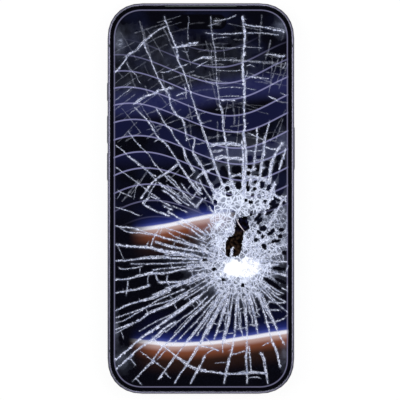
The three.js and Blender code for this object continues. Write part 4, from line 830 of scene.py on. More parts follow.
class Sheet:
    """The points and faces of one new piece, with a whiteness painted at each point."""

    def __init__(self):
        self.points = []
        self.faces = []
        self.white = []
        self.parts = []

    def add(self, points, faces, white=1.0, part=0):
        start = len(self.points)
        self.points += points
        self.faces += [[start + corner for corner in face] for face in faces]
        self.white += each(white, len(points))
        self.parts += each(part, len(faces))

    def piece(self, name, finishes, smooth=False):
        """Makes the piece, which rides on the phone."""
        mesh = bpy.data.meshes.new(name)
        mesh.from_pydata([(x * MM, y * MM, z * MM) for x, y, z in self.points], [], self.faces)
        painted = mesh.attributes.new("white", "FLOAT", "POINT")
        painted.data.foreach_set("value", self.white)
        for finish in finishes:
            mesh.materials.append(finish.material)
        mesh.polygons.foreach_set("material_index", self.parts)
        mesh.polygons.foreach_set("use_smooth", [smooth] * len(self.faces))
        mesh.update()
        made = add_to_scene(name, mesh)
        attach(made, BODY)
        return made


def strip_faces(rows, across, closed=False):
    """The faces between rows of points, which also go from the last column to the first if closed."""
    faces = []
    for row in range(rows - 1):
        for column in range(across if closed else across - 1):
            near = row * across + column
            after = row * across + (column + 1) % across
            faces.append([near, after, after + across, near + across])
    return faces


def plate(name, loops, low, high, finish):
    """A flat plate from its outer loop and its holes."""
    flat = [[Vector((x, y, 0)) for x, y in loop] for loop in loops]
    corners = [corner for loop in loops for corner in loop]
    count = len(corners)
    points = [(x, y, high) for x, y in corners] + [(x, y, low) for x, y in corners]
    faces = []
    for triangle in geometry.tessellate_polygon(flat):
        a, b, c = (Vector(corners[corner]) for corner in triangle)
        upward = (b - a).cross(c - a) > 0
        top = list(triangle) if upward else list(reversed(triangle))
        faces.append(top)
        faces.append([count + corner for corner in reversed(top)])
    start = 0
    for turn, loop in enumerate(loops):
        for step in range(len(loop)):
            here = start + step
            after = start + (step + 1) % len(loop)
            side = [here, count + here, count + after, after]
            faces.append(side if turn == 0 else list(reversed(side)))
        start += len(loop)
    sheet = Sheet()
    sheet.add(points, faces)
    return sheet.piece(name, [finish])


def smooth_path(points, step):
    """A curve through the points, as evenly spaced points."""
    path = []
    padded = [points[0], *points, points[-1]]
    for four in zip(padded, padded[1:], padded[2:], padded[3:]):
        a, b, c, d = (Vector(point) for point in four)
        count = max(int((c - b).length / step), 1)
        for index in range(count):
            t = index / count
            curve = 2 * b + (c - a) * t + (2 * a - 5 * b + 4 * c - d) * t**2
            path.append(0.5 * (curve + (3 * b - a - 3 * c + d) * t**3))
    path.append(Vector(points[-1]))
    return path


def sideways(path, index):
    """The direction across a path at one of its points."""
    ahead = path[min(index + 1, len(path) - 1)] - path[max(index - 1, 0)]
    return Vector((-ahead.y, ahead.x)).normalized()


def search_tree(points):
    """Finds which of the points lie near a place."""
    tree = kdtree.KDTree(len(points))
    for index, point in enumerate(points):
        tree.insert((point.x, point.y, 0), index)
    tree.balance()
    return tree


def add_crack(sheet, points, width, white, seed):
    """Adds one crack: a shallow V of frosted glass that wanders, swells and pales along its way."""
    path = smooth_path(points, CRACK_STEP)
    last = len(path) - 1
    if last < 2:
        return
    rows = []
    for index, middle in enumerate(path):
        side = sideways(path, index)
        if side.length == 0:
            continue
        shift = WANDER * sway(middle, WANDER_BEND, seed) + SHIVER * sway(middle, SHIVER_BEND, seed + 10)
        near = nearness(middle, 60)
        lattice = max(1.3 - oval(middle, LATTICE_MIDDLE, LATTICE_REACH), 0)
        swell = SWELL[0] + SWELL[1] * near + SWELL[2] * lattice
        swell *= 0.35 + 1.3 * wave(*middle, 1.1, seed + 20)
        pale = PALENESS[0] + PALENESS[1] * near + PALENESS[2] * lattice
        pale *= 0.35 + 1.4 * wave(*middle, 1.7, seed + 40)
        taper = min(CRACK_TIP + min(index, last - index) / 3, 1)
        rows.append((middle + side * shift, side, width * swell * taper, white * min(pale, 1.0) * taper))
    kept = []
    for row in rows + [None]:
        if row and depth_inside(row[0]) > SCREEN_INSET and not in_gap(row[0], GAP_MARGIN):
            kept.append(row)
            continue
        if len(kept) > 1:
            add_rows(sheet, kept)
        kept = []


def add_rows(sheet, rows):
    """Adds one unbroken stretch of a crack."""
    points = []
    white = []
    for middle, side, width, brightness in rows:
        for offset, share, depth in CRACK_SECTION:
            point = middle + side * offset * width
            points.append((point.x, point.y, GLASS_TOP - depth))
            white.append(share * brightness)
    sheet.add(points, strip_faces(len(rows), len(CRACK_SECTION)), white)


def add_flake(sheet, middle, size, white, heading, stretch):
    """A chip of white glass, drawn out along a heading."""
    count = RANDOM.randint(6, 9)
    start = RANDOM.random() * math.tau
    points = [(*middle, GLASS_TOP - FLAKE_MIDDLE_SINK)]
    shades = [white]
    for share, shade in ((0.55, white * 0.9), (1.0, 0.0)):
        for index in range(count):
            turn = start + math.tau * index / count
            reach = size * share * RANDOM.uniform(0.55, 1.25)
            along = reach * stretch * math.cos(turn)
            across = reach * math.sin(turn)
            x = middle[0] + along * math.cos(heading) - across * math.sin(heading)
            y = middle[1] + along * math.sin(heading) + across * math.cos(heading)
            points.append((x, y, GLASS_TOP - FLAKE_SINK))
            shades.append(shade)
    faces = []
    for index in range(count):
        after = (index + 1) % count
        faces.append([0, 1 + index, 1 + after])
        faces.append([1 + index, 1 + count + index, 1 + count + after, 1 + after])
    sheet.add(points, faces, shades)


def add_chips(sheet, points, style):
    """Bright chips strung along a crack, with short spurs off its sides."""
    width, white = style
    path = smooth_path(points, CHIP_STEP)
    for before, here in zip(path, path[1:]):
        if depth_inside(here) < SCREEN_INSET + 0.4 or in_gap(here):
            continue
        heading = math.atan2(here.y - before.y, here.x - before.x)
        if RANDOM.random() < CHIP_CHANCE:
            side = RANDOM.uniform(-0.4, 0.4) * width
            middle = (here.x - side * math.sin(heading), here.y + side * math.cos(heading))
            size = width * RANDOM.uniform(0.25, 0.75)
            turn = heading + RANDOM.uniform(-0.6, 0.6)
            brightness = white * RANDOM.uniform(0.8, 1.7)
            add_flake(sheet, middle, size, brightness, turn, RANDOM.uniform(1.0, 2.2))
        if RANDOM.random() < SPUR_CHANCE:
            turn = heading + RANDOM.choice((-1, 1)) * RANDOM.uniform(0.4, 1.6)
            tip = beyond(here, RANDOM.uniform(0.5, 1.5), turn)
            middle = ((here.x + tip[0]) / 2 + RANDOM.uniform(-0.1, 0.1), (here.y + tip[1]) / 2)
            spur = [tuple(here), middle, tip]
            add_crack(sheet, spur, width * 0.5, white * 0.7, RANDOM.random() * 99)


def web_lines():
    """Spokes from the blow and the broken rungs between them, close near the blow and sparse elsewhere."""
    turns = [360 * (spoke + RANDOM.uniform(-0.35, 0.35)) / WEB_SPOKES for spoke in range(WEB_SPOKES)]
    bends = [RANDOM.uniform(-SPOKE_BEND, SPOKE_BEND) for _ in turns]
    lines = []
    for turn, bend in zip(turns, bends):
        near = RANDOM.choice((3.0, 5.0, 7.0, 9.0))
        far = RANDOM.uniform(11, 20)
        if polar(1, turn)[1] < IMPACT[1] + 0.4:
            far *= RANDOM.choice((1.2, 1.6, 1.9))
        spoke = []
        for step in range(SPOKE_STEPS + 1):
            radius = near + (far - near) * step / SPOKE_STEPS
            spoke.append(polar(radius, turn + bend * radius / BEND_RADIUS + RANDOM.uniform(-1.0, 1.0)))
        lines.append(spoke)
    for radius in WEB_RINGS:
        for turn, after in zip(turns, turns[1:] + [turns[0] + 360]):
            middle = polar(radius, (turn + after) / 2)
            chance = 0.12 + 0.5 * crushed(middle) * (radius < CLOSE_RUNGS) - 0.003 * radius
            if radius > LAST_RUNG_ABOVE and middle[1] > IMPACT[1] + 10:
                chance = 0
            if RANDOM.random() > chance:
                continue
            skew = RANDOM.uniform(-0.04, 0.04)
            bowed = RANDOM.uniform(0.97, 1.03)
            start = polar(radius * (1 - skew), turn - RUNG_OVERLAP)
            end = polar(radius * (1 + skew), after + RUNG_OVERLAP)
            lines.append([start, polar(radius * bowed, (turn + after) / 2), end])
    return lines


def fine_lines(paths, count):
    """Fine cracks that run round the blow, from one crack to the next that they meet."""
    samples = []
    for owner, points in enumerate(paths):
        samples += [(point, owner) for point in smooth_path(points, FINE_SAMPLE)]
    tree = search_tree([point for point, _ in samples])
    lines = []
    while len(lines) < count:
        start, owner = RANDOM.choice(samples)
        away = start - Vector(IMPACT)
        if RANDOM.random() > (18 / (away.length + 4)) ** 2.6:
            continue
        heading = math.atan2(away.y, away.x)
        heading += RANDOM.choice((-1, 1)) * (math.pi / 2 + RANDOM.uniform(-0.45, 0.45))
        bend = RANDOM.uniform(-0.06, 0.06)
        points = [tuple(start)]
        here = start.copy()
        longest = RANDOM.choice((3, 5, 9, 14, 18))
        met = False
        for step in range(longest):
            heading += bend
            here = here + Vector((math.cos(heading), math.sin(heading))) * FINE_STEP
            points.append(tuple(here))
            if step < 1:
                continue
            near = tree.find_range((here.x, here.y, 0), TOUCHING)
            if any(samples[index][1] != owner for _, index, _ in near):
                met = True
                break
        if len(points) < 3 or (not met and RANDOM.random() < 0.5):
            continue
        lines.append([points[0], *points[2:-1:3], points[-1]])
    return lines


def faint_lines(count):
    """Long faint cracks over the upper part, along the spokes or across them."""
    lines = []
    for _ in range(count):
        across = RANDOM.uniform(-FAINT_HALF_WIDTH, FAINT_HALF_WIDTH)
        start = Vector((across, RANDOM.triangular(0, FAINT_TOP, FAINT_PEAK)))
        away = start - Vector(IMPACT)
        heading = math.atan2(away.y, away.x) + RANDOM.choice((0, 1, 1)) * math.pi / 2
        heading += RANDOM.gauss(0, 0.13)
        reach = RANDOM.uniform(2, 8)
        bow = RANDOM.uniform(-0.05, 0.05) * reach
        along = Vector((math.cos(heading), math.sin(heading)))
        aside = Vector((-along.y, along.x))
        before, after = (tuple(start + along * shift) for shift in (-reach, reach))
        lines.append([before, tuple(start + aside * bow), after])
    return lines


# Materials


def make_band():
    """Dark blue metal: fine satin grain, a painted highlight along the lip, small bright nicks on the
    edges.
    """
    finish = Finish("band_metal", Metallic=1.0, Roughness=0.3)
    grain = finish.noise(0.5, 4, stretch=(1, 1, 6))
    patches = finish.noise(9, 2)
    nicks = finish.noise(0.7, 5).rise(0.66, 0.74) * finish.noise(6, 2).rise(0.5, 0.62)
    base = finish.mix(patches, (52, 52, 64), (64, 64, 78))
    # Painted highlight: the colour turns light lavender in a thin band along the lip, about 0.8 mm in from
    # the outer edge.
    painted_lip_highlight = finish.inward().band(0.82, 0.16, 0.16)
    base = finish.mix(painted_lip_highlight, base, (142, 140, 163))
    finish.paint(nicks * 0.7, base, (190, 190, 205))
    finish.set("Roughness", grain * 0.1 + 0.28)
    finish.bump(grain, 0.004)
    return finish


def make_plain(name, low, high, roughness=0.5, metallic=0.0, size=3.0, depth=0.01):
    """A plain moulded or coated surface, slightly uneven in colour and gloss."""
    finish = Finish(name, Metallic=metallic)
    finish.paint(finish.noise(size, 4), low, high)
    finish.set("Roughness", finish.noise(size / 4, 3) * 0.2 + (roughness - 0.1))
    if depth:
        finish.bump(finish.noise(size / 8, 3), depth)
    return finish


def make_clear_glass():
    """Clear glass that mirrors more the flatter it is looked at."""
    finish = Finish("clear_glass")
    mirror = finish.node("BsdfGlossy", Roughness=0.04)
    clear = finish.node("BsdfTransparent", Color=(0.98, 0.985, 1.0, 1.0))
    finish.blend(finish.facing().power(5) * 0.965 + 0.034, clear, mirror)
    finish.tree.nodes.remove(finish.shader)
    return finish


def make_broken_edge():
    """The frosted sides of the pieces of glass."""
    finish = Finish("broken_edge", Roughness=0.5)
    streaks = finish.noise(0.5, 4, stretch=(1, 1, 0.3))
    finish.paint(streaks, (170, 180, 200), (235, 240, 248))
    finish.set("Alpha", streaks.rise(0.35, 0.75) * 0.55)
    return finish


def make_crack_white():
    """Frosted crack faces: bluish white, solid at the middle and clear at the sides."""
    finish = Finish("crack_white", Roughness=0.55)
    grain = finish.noise(0.45, 3).rise(0.32, 0.66)
    finish.paint(finish.noise(1.3, 2).rise(0.3, 0.62), (150, 158, 186), (214, 218, 236))
    finish.set("Alpha", (finish.painted("white") * (grain * 0.9 + 0.3)).at_most(1.0))
    return finish


def make_crushed_white():
    """Crushed glass: a fine white net where it lies thin, which fills in where it lies thick."""
    finish = Finish("crushed_white", Roughness=0.6)
    white = finish.painted("white")
    grain = finish.noise(1.2, 2)
    net = finish.net(1.9, 0.16, 0.02)
    wide_net = finish.net(3.1, 0.12, 0.02)
    lines = net.at_least(wide_net) * white.rise(0.14, 0.64) * (grain * 0.9 + 0.5)
    fill = (white + (grain - 0.5) * 0.55 + (net - 0.5) * 0.4).rise(0.36, 1.2)
    haze = white * 0.5
    cover = lines.at_least(fill).at_least(haze).at_most(1.0)
    finish.set("Alpha", cover)
    shade = finish.mix(cover, (150, 159, 186), (210, 216, 232))
    finish.paint(white.rise(0.96, 1.3), shade, (255, 255, 255))
    finish.bump(cover, 0.1)
    return finish


def make_crumb():
    """Loose grains of glass, pale and slightly bluish."""
    finish = Finish("glass_crumb", Roughness=0.35)
    finish.paint(finish.noise(0.6, 2), (186, 195, 214), (238, 240, 246))
    return finish


def screen_swell(rise, strength):
    """A glowing swell of the picture: blue above its crest, white on it, and copper below it."""
    above = rise.rise(-0.2, 0.8)
    return (
        (above * rise.rise(16.0, 2.0) * strength, (5, 9, 42)),
        (rise.rise(-2.0, -4.0) * rise.rise(-13.0, -6.0) * strength, (42, 24, 15)),
        (rise.rise(-0.4, -2.0) * rise.rise(-7.0, -2.6) * strength, (128, 72, 48)),
        (rise.rise(0.2, -0.7) * rise.rise(-3.4, -1.0) * strength, (192, 160, 152)),
        (above * rise.rise(5.5, 0.2) * strength, (38, 48, 122)),
        (rise.rise(0.2, 0.9) * rise.rise(2.4, 0.6) * strength * 0.5, (100, 112, 196)),
        (rise.band(0.0, 0.3, 0.8) * strength, (250, 248, 255)),
    )


def make_screen():
    """The lit screen: dark waves under two glowing swells, a painted edge highlight, and dead under the
    hole in the glass.
    """
    finish = Finish("lit_screen", Roughness=0.35, Specular_IOR_Level=0.0)
    x, y, _ = finish.place()
    haze = finish.noise(14, 3)

    picture = finish.mix(haze.rise(0.4, 0.75) * y.rise(-30, 10), (1, 1, 5), (13, 17, 40))
    indigo = (y - (x * 0.05).sine() * 4.0).band(39.5, 1.0, 6.0)
    picture = finish.mix(indigo * 0.9, picture, (35, 38, 80))
    fade = x.rise(-28, -16)
    upper = (x * 0.07 + 0.35).sine() * 3.2 - 8.6
    lower = (x * 0.06 - 1.1).sine() * 2.6 - 53.2
    for crest, strength in ((upper, fade * x.rise(15, 4)), (lower, fade * 0.95)):
        rise = (y - crest) + (haze - 0.5)
        for share, tint in screen_swell(rise, strength):
            picture = finish.mix(share, picture, tint)

    flow = (y + (x * 0.085 + y * 0.02).sine() * 5.5) / 6.2
    calm = (flow * 0.5).fraction().rise(0.5, 0.52) * y.band(28, 10, 8)
    picture = finish.mix(calm * 0.5, picture, (26, 30, 72))
    ridge = (flow.fraction() - 0.5).size()
    lines = ridge.rise(0.44, 0.475) * (y - 26).size().rise(38, 16)
    picture = finish.mix(lines * 0.85, picture, (142, 141, 182))
    # Painted highlight: a thin lavender line glows just inside the edge of the screen, as a lit bevel would
    # show.
    painted_rim_highlight = finish.inward().band(SCREEN_INSET + 0.3, 0.08, 0.25)
    picture = finish.mix(painted_rim_highlight * 0.8, picture, (124, 122, 150))

    hole_x = (x - (IMPACT[0] - 0.4) - (y - IMPACT[1] - 9) * 0.22) / 5.2
    hole_y = (y - (IMPACT[1] + 9.6)) / 10.4
    dead = (hole_x * hole_x + hole_y * hole_y).power(0.5) + (haze - 0.5) * 0.2
    alive = dead.rise(0.8, 1.15)
    finish.set("Emission Color", picture)
    finish.set("Emission Strength", alive)
    scorch = finish.mix(y.rise(-13.5, -11.5), (46, 34, 26), (18, 17, 38))
    burnt = finish.mix(finish.noise(1.3, 4).rise(0.42, 0.7), (3, 2, 3), scorch)
    finish.paint(alive, burnt, (4, 4, 8))
    return finish


def make_back():
    """The matt back glass, with faint smears."""
    finish = Finish("back_glass_matt", Specular_IOR_Level=0.4)
    smears = finish.noise(12, 4, stretch=(1, 2, 1))
    finish.paint(smears, (30, 32, 48), (38, 40, 58))
    finish.set("Roughness", smears * 0.18 + 0.3)
    finish.bump(finish.noise(0.25, 2), 0.004)
    return finish


def make_mesh_finish():
    """A woven grille: fine dark holes in grey metal."""
    finish = Finish("woven_mesh", Metallic=0.6, Roughness=0.5)
    x, y, _ = finish.place()
    across, along = ((axis / WEAVE).fraction().band(0.5, 0.22, 0.1) for axis in (x, y))
    finish.paint(across * along, (70, 78, 76), (6, 8, 8))
    finish.bump((across * along) * -1 + 1, 0.05)
    return finish


def make_board():
    """A green circuit board with a raised net of tracks."""
    finish = Finish("board_green", Roughness=0.45)
    tracks = finish.net(1.4, 0.08, 0.03)
    finish.paint(tracks, (16, 46, 34), (52, 96, 62))
    finish.bump(tracks, 0.03)
    return finish


def make_lens():
    """Coated lens glass, dark, with a painted violet reflection at a slant and a green cast."""
    finish = Finish("coated_lens", Roughness=0.08, Coat_Weight=1.0, Coat_Roughness=0.03)
    # Painted reflection: the dark blue turns violet the more the lens is seen at a slant.
    tint = finish.mix(finish.facing(0.35), (8, 10, 30), (54, 26, 74))
    finish.paint(finish.noise(2.2, 2).rise(0.45, 0.7), tint, (14, 40, 44))
    return finish


dark = make_plain("dark_plastic", (16, 17, 22), (26, 27, 34), 0.45)
FINISHES = {
    "band": make_band(),
    "cover_glass": dark,
    "back_glass": make_back(),
    "display": make_screen(),
    "steel": make_plain("satin_steel", (120, 122, 130), (160, 162, 170), 0.3, 1.0, 2.0, 0.004),
    "dark_plastic": dark,
    "polymer": make_plain("antenna_polymer", (44, 46, 62), (54, 56, 74), 0.4, 0.0, 1.0, 0.006),
    "mesh": make_mesh_finish(),
    "lens": make_lens(),
    "flash": make_plain("flash_diffuser", (226, 214, 170), (246, 240, 214), 0.35, 0.0, 1.0, 0.03),
    "battery": make_plain("battery_wrap", (24, 25, 28), (34, 35, 40), 0.5),
    "board": make_board(),
    "shield": make_plain("tin_shield", (168, 170, 172), (196, 198, 200), 0.32, 1.0, 1.5, 0.006),
    "copper": make_plain("copper_coil", (170, 96, 58), (206, 128, 84), 0.35, 1.0, 1.0, 0.01),
    "flex": make_plain("flex_film", (92, 56, 26), (128, 82, 40), 0.4, 0.0, 2.0, 0.006),
}
clear_glass = make_clear_glass()
broken_edge = make_broken_edge()
crack_white = make_crack_white()
crushed_white = make_crushed_white()
crumb_white = make_crumb()
black_print = make_plain("black_print", (3, 3, 7), (6, 6, 11), 0.4, 0.0, 2.0, 0.0)
black_print.set("Specular IOR Level", 0.0)
pale_splinter = make_plain("pale_splinter", (188, 176, 184), (226, 220, 228), 0.35, 0.0, 1.0, 0.02)


def dress_nodes():
    """Gives each CAD node the finish that its slot names, and smooth curves between sharp edges."""
    for node in nodes.values():
        slots = [material.name.split(".")[0] for material in node.data.materials if material]
        for index, slot in enumerate(slots):
            if slot in FINISHES:
                node.data.materials[index] = FINISHES[slot].material
        node.data.polygons.foreach_set("use_smooth", [True] * len(node.data.polygons))
        node.data.set_sharp_from_angle(angle=math.radians(SMOOTH_ANGLE))


dress_nodes()


# The broken glass


def add_bundle(sheet, points, style, seed):
    """A main crack: its own line, a fainter strand beside part of it, and chips along it."""
    width, white = style
    add_crack(sheet, points, width, white, seed)
    add_chips(sheet, points, style)
    if width < CLEAR[0] or len(points) < 4:
        return
    shift = RANDOM.choice((-1, 1)) * RANDOM.uniform(0.35, 0.75)
    first = RANDOM.randint(0, len(points) - 3)
    last = RANDOM.randint(first + 2, len(points) - 1)
    strand = [points[first]]
    for before, here in zip(points[first:last], points[first + 1 : last + 1]):
        along = (Vector(here) - Vector(before)).normalized()
        strand.append((here[0] - along.y * shift, here[1] + along.x * shift))
    add_crack(sheet, strand, width * 0.6, white * 0.8, seed + 5)


def plan_cracks():
    """All the cracks but the faint ones, each as its points, its width and its whiteness."""
    planned = [([place(pixel) for pixel in pixels], *style) for style, *pixels in CRACKS]
    for points in web_lines():
        fineness = crushed(points[len(points) // 2]) * RANDOM.uniform(0.5, 1.3)
        planned.append((points, 0.5 + 0.1 * fineness, 0.68 + 0.2 * fineness))
    for points in fine_lines([crack[0] for crack in planned], FINE_COUNT):
        planned.append((points, RANDOM.uniform(0.3, 0.55), RANDOM.uniform(0.4, 0.9)))
    return planned


def lay_cracks():
    """The piece that holds every crack."""
    sheet = Sheet()
    for number, (points, width, white) in enumerate(cracks):
        if number < len(CRACKS):
            add_bundle(sheet, points, (width, white), number * 1.7)
        else:
            add_crack(sheet, points, width, white, number * 1.7)
    for number, points in enumerate(faint_lines(FAINT_COUNT)):
        white = RANDOM.uniform(0.06, 0.24)
        add_crack(sheet, points, RANDOM.uniform(0.45, 0.9), white, 5000 + number * 1.3)
    return sheet.piece("crack_lines", [crack_white], smooth=True)


def sides_of(face):
    """Each side of a face, as its two corners."""
    return list(zip(face, face[1:] + face[:1]))


def middle_of(points):
    return sum(points, Vector((0, 0))) / len(points)


def cut_glass(paths):
    """Cuts the glass along the cracks into flat faces. Gives their corners, the faces and the cuts."""
    points = []
    edges = []
    for loop in (outline(GLASS_INSET), HOLE):
        start = len(points)
        points += [Vector(point) for point in loop]
        edges += [(start + step, start + (step + 1) % len(loop)) for step in range(len(loop))]
    for path in paths:
        kept = [point for point in path if depth_inside(point) > GLASS_INSET + CUT_MARGIN]
        start = len(points)
        points += [Vector(point) for point in kept]
        edges += [(start + step, start + step + 1) for step in range(len(kept) - 1)]
    divided = geometry.delaunay_2d_cdt(points, edges, [], 0, SAME_CORNER)
    corners, lines, faces, _, sources, _ = divided
    cuts = {frozenset(line) for line, source in zip(lines, sources) if source}
    glass = []
    for face in faces:
        middle = middle_of([corners[corner] for corner in face])
        if depth_inside(middle) > GLASS_INSET and not is_in(middle, HOLE):
            glass.append(face)
    return corners, glass, cuts


def gather_shards(faces, beside, cuts):
    """Groups the faces that no cut parts. Gives the number of each face's shard, and each shard's faces."""
    owner = [-1] * len(faces)
    shards = []
    for first in range(len(faces)):
        if owner[first] >= 0:
            continue
        owner[first] = len(shards)
        members = [first]
        for index in members:
            for side in sides_of(faces[index]):
                if frozenset(side) in cuts:
                    continue
                for other in beside[frozenset(side)]:
                    if owner[other] < 0:
                        owner[other] = len(shards)
                        members.append(other)
        shards.append(members)
    return owner, shards


def tip_shard(middle, spread):
    """How much one shard is tipped each way, and how far it has dropped."""
    near = nearness(middle, 45)
    most = min(0.1 * (0.35 + near), 0.012 * (1 + 3 * near) * spread + 0.01)
    most = min(most / max(spread, 0.5), STEEPEST_TIP)
    across, along = (RANDOM.uniform(-most, most) for _ in range(2))
    return across, along, RANDOM.uniform(0, MOST_DROP) * near


def lay_shards(paths):
    """Splits the glass along the cracks. Each shard is a thin plate of its own, tipped a little."""
    corners, faces, cuts = cut_glass(paths)
    beside = {}
    for index, face in enumerate(faces):
        for side in sides_of(face):
            beside.setdefault(frozenset(side), []).append(index)
    owner, shards = gather_shards(faces, beside, cuts)
    sheet = Sheet()
    for number, members in enumerate(shards):
        used = sorted({corner for index in members for corner in faces[index]})
        order = {corner: index for index, corner in enumerate(used)}
        middle = middle_of([corners[corner] for corner in used])
        spread = max((corners[corner] - middle).length for corner in used)
        across, along, drop = tip_shard(middle, spread)
        top = []
        bottom = []
        for corner in used:
            x, y = corners[corner]
            lift = across * (x - middle.x) + along * (y - middle.y) - drop
            top.append((x, y, GLASS_TOP - SHARD_SINK + lift))
            bottom.append((x, y, GLASS_BOTTOM))
        flat = []
        upright = []
        for index in members:
            face = [order[corner] for corner in faces[index]]
            flat.append(face)
            flat.append([len(used) + corner for corner in reversed(face)])
            for a, b in sides_of(faces[index]):
                side = frozenset((a, b))
                parted = side in cuts and any(owner[other] != number for other in beside[side])
                if parted or len(beside[side]) == 1:
                    upright.append([order[b], order[a], len(used) + order[a], len(used) + order[b]])
        sheet.add(top + bottom, flat + upright, part=[0] * len(flat) + [1] * len(upright))
    return sheet.piece("glass_shards", [clear_glass, broken_edge])


def halo_spots():
    """Points along the cracks, each with how far and how strongly it frosts the glass beside it."""
    spots = []
    for points, width, white in cracks:
        for point in smooth_path(points, HALO_STEP):
            strength = white * (0.12 + 0.3 * nearness(point, 50))
            spots.append((point, 0.3 + 0.45 * width, strength))
    return spots


def frost_at(point, spots, tree):
    """How white the glass is at a point, from the cracks, the crushed bed, the films and the core."""
    if depth_inside(point) < SCREEN_INSET:
        return 0.0
    rough = (wave(*point, 2.4, 12) - 0.5) + 0.7 * (wave(*point, 1.0, 14) - 0.5)
    clear = 1.0
    for _, index, distance in tree.find_range((*point, 0), HALO_SEARCH):
        _, reach, strength = spots[index]
        clear *= 1 - 0.3 * strength * math.exp(-((distance / reach) ** 2))
    for x, y, across, along, thickness in BEDS:
        away = oval(point, (x, y), (across, along)) + 0.35 * rough
        clear *= 1 - thickness * clamp((1.15 - away) / 0.5) * (1 + 0.5 * rough)
    for x, y, across, along, whiteness in FILMS:
        away = oval(point, (x, y), (across, along))
        if away < 1.5:
            clear *= 1 - whiteness * math.exp(-(away**2) * 1.5) * (0.7 + rough)
    core = max(1.2 - oval(point, CORE_MIDDLE, CORE_REACH) + 0.5 * rough, 0)
    window = clamp((gap_distance(point) + 0.3 * rough - 0.9) / 0.35)
    return min((1 - clear + core * 1.1) * window, MOST_FROST)


def lay_frost():
    """The frosted glass along the cracks, the crushed bed round the blow and the pale films."""
    spots = halo_spots()
    tree = search_tree([spot[0] for spot in spots])
    index = {}
    points = []
    white = []
    for row in range(int(2 * HALF_LENGTH / FROST_STEP) + 1):
        for column in range(int(2 * HALF_WIDTH / FROST_STEP) + 1):
            point = (-HALF_WIDTH + column * FROST_STEP, -HALF_LENGTH + row * FROST_STEP)
            amount = frost_at(point, spots, tree)
            if amount > LEAST_FROST:
                index[row, column] = len(points)
                lift = 0.1 * wave(*point, 1.1, 9) * min(amount, 1)
                points.append((*point, GLASS_TOP - FROST_SINK + lift))
                white.append(amount)
    faces = []
    for row, column in index:
        corners = [(row, column), (row, column + 1), (row + 1, column + 1), (row + 1, column)]
        if all(corner in index for corner in corners):
            faces.append([index[corner] for corner in corners])
    sheet = Sheet()
    sheet.add(points, faces, white)
    return sheet.piece("crushed_glass", [crushed_white], smooth=True)


def scatter_crumbs():
    """Splinters of glass on the crushed bed."""
    sheet = Sheet()
    placed = 0
    while placed < CRUMBS:
        point = tuple(RANDOM.gauss(*along) for along in zip(CRUMB_MIDDLE, CRUMB_SPREAD))
        if depth_inside(point) < SCREEN_INSET + 0.3 or in_gap(point, 1.2):
            continue
        if RANDOM.random() > crushed(point) ** 2:
            continue
        placed += 1
        core = max(1 - oval(point, CORE_MIDDLE, CORE_REACH), 0)
        size = RANDOM.uniform(0.08, 0.26) * (1 + 0.5 * core)
        turn = RANDOM.random() * math.tau
        height = GLASS_TOP - CRUMB_SINK + RANDOM.uniform(-0.04, 0.04)
        corners = []
        for step in range(4):
            angle = turn + math.tau * step / 4 + RANDOM.uniform(-0.5, 0.5)
            corner = beyond(point, size * RANDOM.uniform(0.6, 1.2), angle)
            corners.append((*corner, height + RANDOM.uniform(-0.05, 0.05)))
        top = (*point, height + size * RANDOM.uniform(0.2, 0.7))
        bottom = (*point, height - size * 0.6)
        faces = []
        for step in range(4):
            after = (step + 1) % 4
            faces += [[step, after, 4], [after, step, 5]]
        sheet.add([*corners, top, bottom], faces)
    return sheet.piece("glass_crumbs", [crumb_white])


def lay_splinter():
    """The pale splinter that lies across the hole."""
    path = smooth_path(SPLINTER, SPLINTER_STEP)
    last = len(path) - 1
    level = GLASS_TOP - FLAKE_SINK
    points = []
    for index, middle in enumerate(path):
        side = sideways(path, index)
        reach = SPLINTER_WIDTH / 2 * math.sin(math.pi * (0.12 + 0.8 * index / last))
        for across, height in ((-reach, -SPLINTER_DEPTH), (0, 0.02), (reach, -SPLINTER_DEPTH)):
            point = middle + side * across
            points.append((point.x, point.y, level + height))
    end = last * 3
    sheet = Sheet()
    sheet.add(points, [[2, 1, 0], *strip_faces(len(path), 3, closed=True), [end, end + 1, end + 2]])
    return sheet.piece("loose_splinter", [pale_splinter])


def print_black(name, loops):
    """A part of the black print on the back of the glass."""
    low = GLASS_BOTTOM + PRINT_LIFT
    return plate(name, loops, low, low + PRINT_THICKNESS, black_print)


cracks = plan_cracks()
lay_cracks()
shards = lay_shards([crack[0] for crack in cracks])
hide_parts("cover_glass")
lay_frost()
scatter_crumbs()
lay_splinter()
print_black("black_border", [outline(GLASS_INSET + PRINT_GAP), outline(SCREEN_INSET)])
window = moved(pill(PILL_WIDTH + PRINT_MARGIN, PILL_HEIGHT + PRINT_MARGIN), 0, PILL_Y)
print_black("camera_window_print", [window, circle((CAMERA_X, PILL_Y), CAMERA_WINDOW)])


# The room


def lamp(name, where, power):
    """A soft square lamp, aimed at the phone."""
    light = bpy.data.lights.new(name, "AREA")
    light.size = LAMP_SIZE
    light.energy = power
    made = add_to_scene(name, light)
    made.location = where
    made.rotation_euler = (-Vector(where)).to_track_quat("-Z", "Y").to_euler()


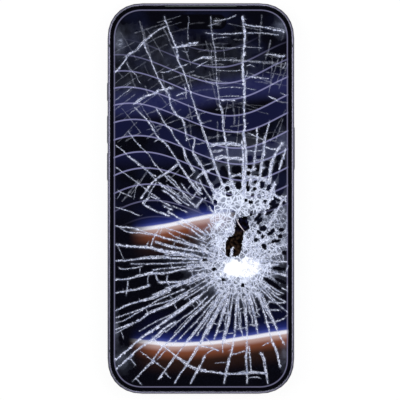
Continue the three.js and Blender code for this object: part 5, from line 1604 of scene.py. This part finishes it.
def make_world():
    """Dark, with a pale ring part of the way up, so that edges catch a thin light and flats stay dark."""
    world = bpy.data.worlds.new("studio")
    bpy.context.scene.world = world
    world.use_nodes = True
    tree = world.node_tree
    ground = tree.nodes["Background"]
    where = tree.nodes.new("ShaderNodeTexCoord")
    parts = tree.nodes.new("ShaderNodeSeparateXYZ")
    tree.links.new(where.outputs["Generated"], parts.inputs[0])
    ground.inputs["Color"].default_value = (0.97, 0.98, 1.0, 1.0)
    ring = Value(tree, parts.outputs["Z"]).band(0.42, 0.16, 0.22)
    feed(tree, ring * 0.6 + 0.02, ground.inputs["Strength"])


def make_floor():
    """A pale floor that looks white and keeps the shadow."""
    level = cad_box[0][2]
    sides = ((-1, -1), (1, -1), (1, 1), (-1, 1))
    corners = [(side * FLOOR_REACH, end * FLOOR_REACH, level) for side, end in sides]
    sheet = bpy.data.meshes.new("floor")
    sheet.from_pydata(corners, [], [(0, 1, 2, 3)])
    finish = Finish("floor_white", Roughness=0.9)
    finish.set("Base Color", (0.86, 0.86, 0.87, 1.0))
    path = finish.node("LightPath").outputs
    rays = ("Is Camera Ray", "Is Glossy Ray", "Is Transmission Ray")
    camera, glossy, through = (finish.value(path[ray]) for ray in rays)
    seen = camera.at_least(glossy).at_least(through)
    finish.blend(seen * 0.9, finish.shader, finish.node("Emission"))
    sheet.materials.append(finish.material)
    add_to_scene("floor", sheet)


def make_camera():
    """Looks straight down on the screen, as the photo does."""
    camera = bpy.data.cameras.new("camera")
    camera.lens = LENS
    camera.sensor_width = SENSOR
    camera.clip_end = 10
    distance = LENS / SENSOR * (PHOTO_SIZE * PIXEL * MM)
    middle_x, middle_y = place((PHOTO_SIZE / 2, PHOTO_SIZE / 2))
    made = add_to_scene("camera", camera)
    made.location = (middle_x * MM, middle_y * MM, GLASS_TOP * MM + distance)
    bpy.context.scene.camera = made


make_world()
make_floor()
make_camera()
lamp("left_lamp", (-0.4, 0.08, 0.6), 2.1)
lamp("right_lamp", (0.4, 0.04, 0.6), 1.9)
lamp("back_lamp", (0.04, 0.42, 0.6), 1.75)
lamp("front_lamp", (-0.04, -0.42, 0.6), 1.65)
bpy.context.scene.view_settings.view_transform = "Standard"
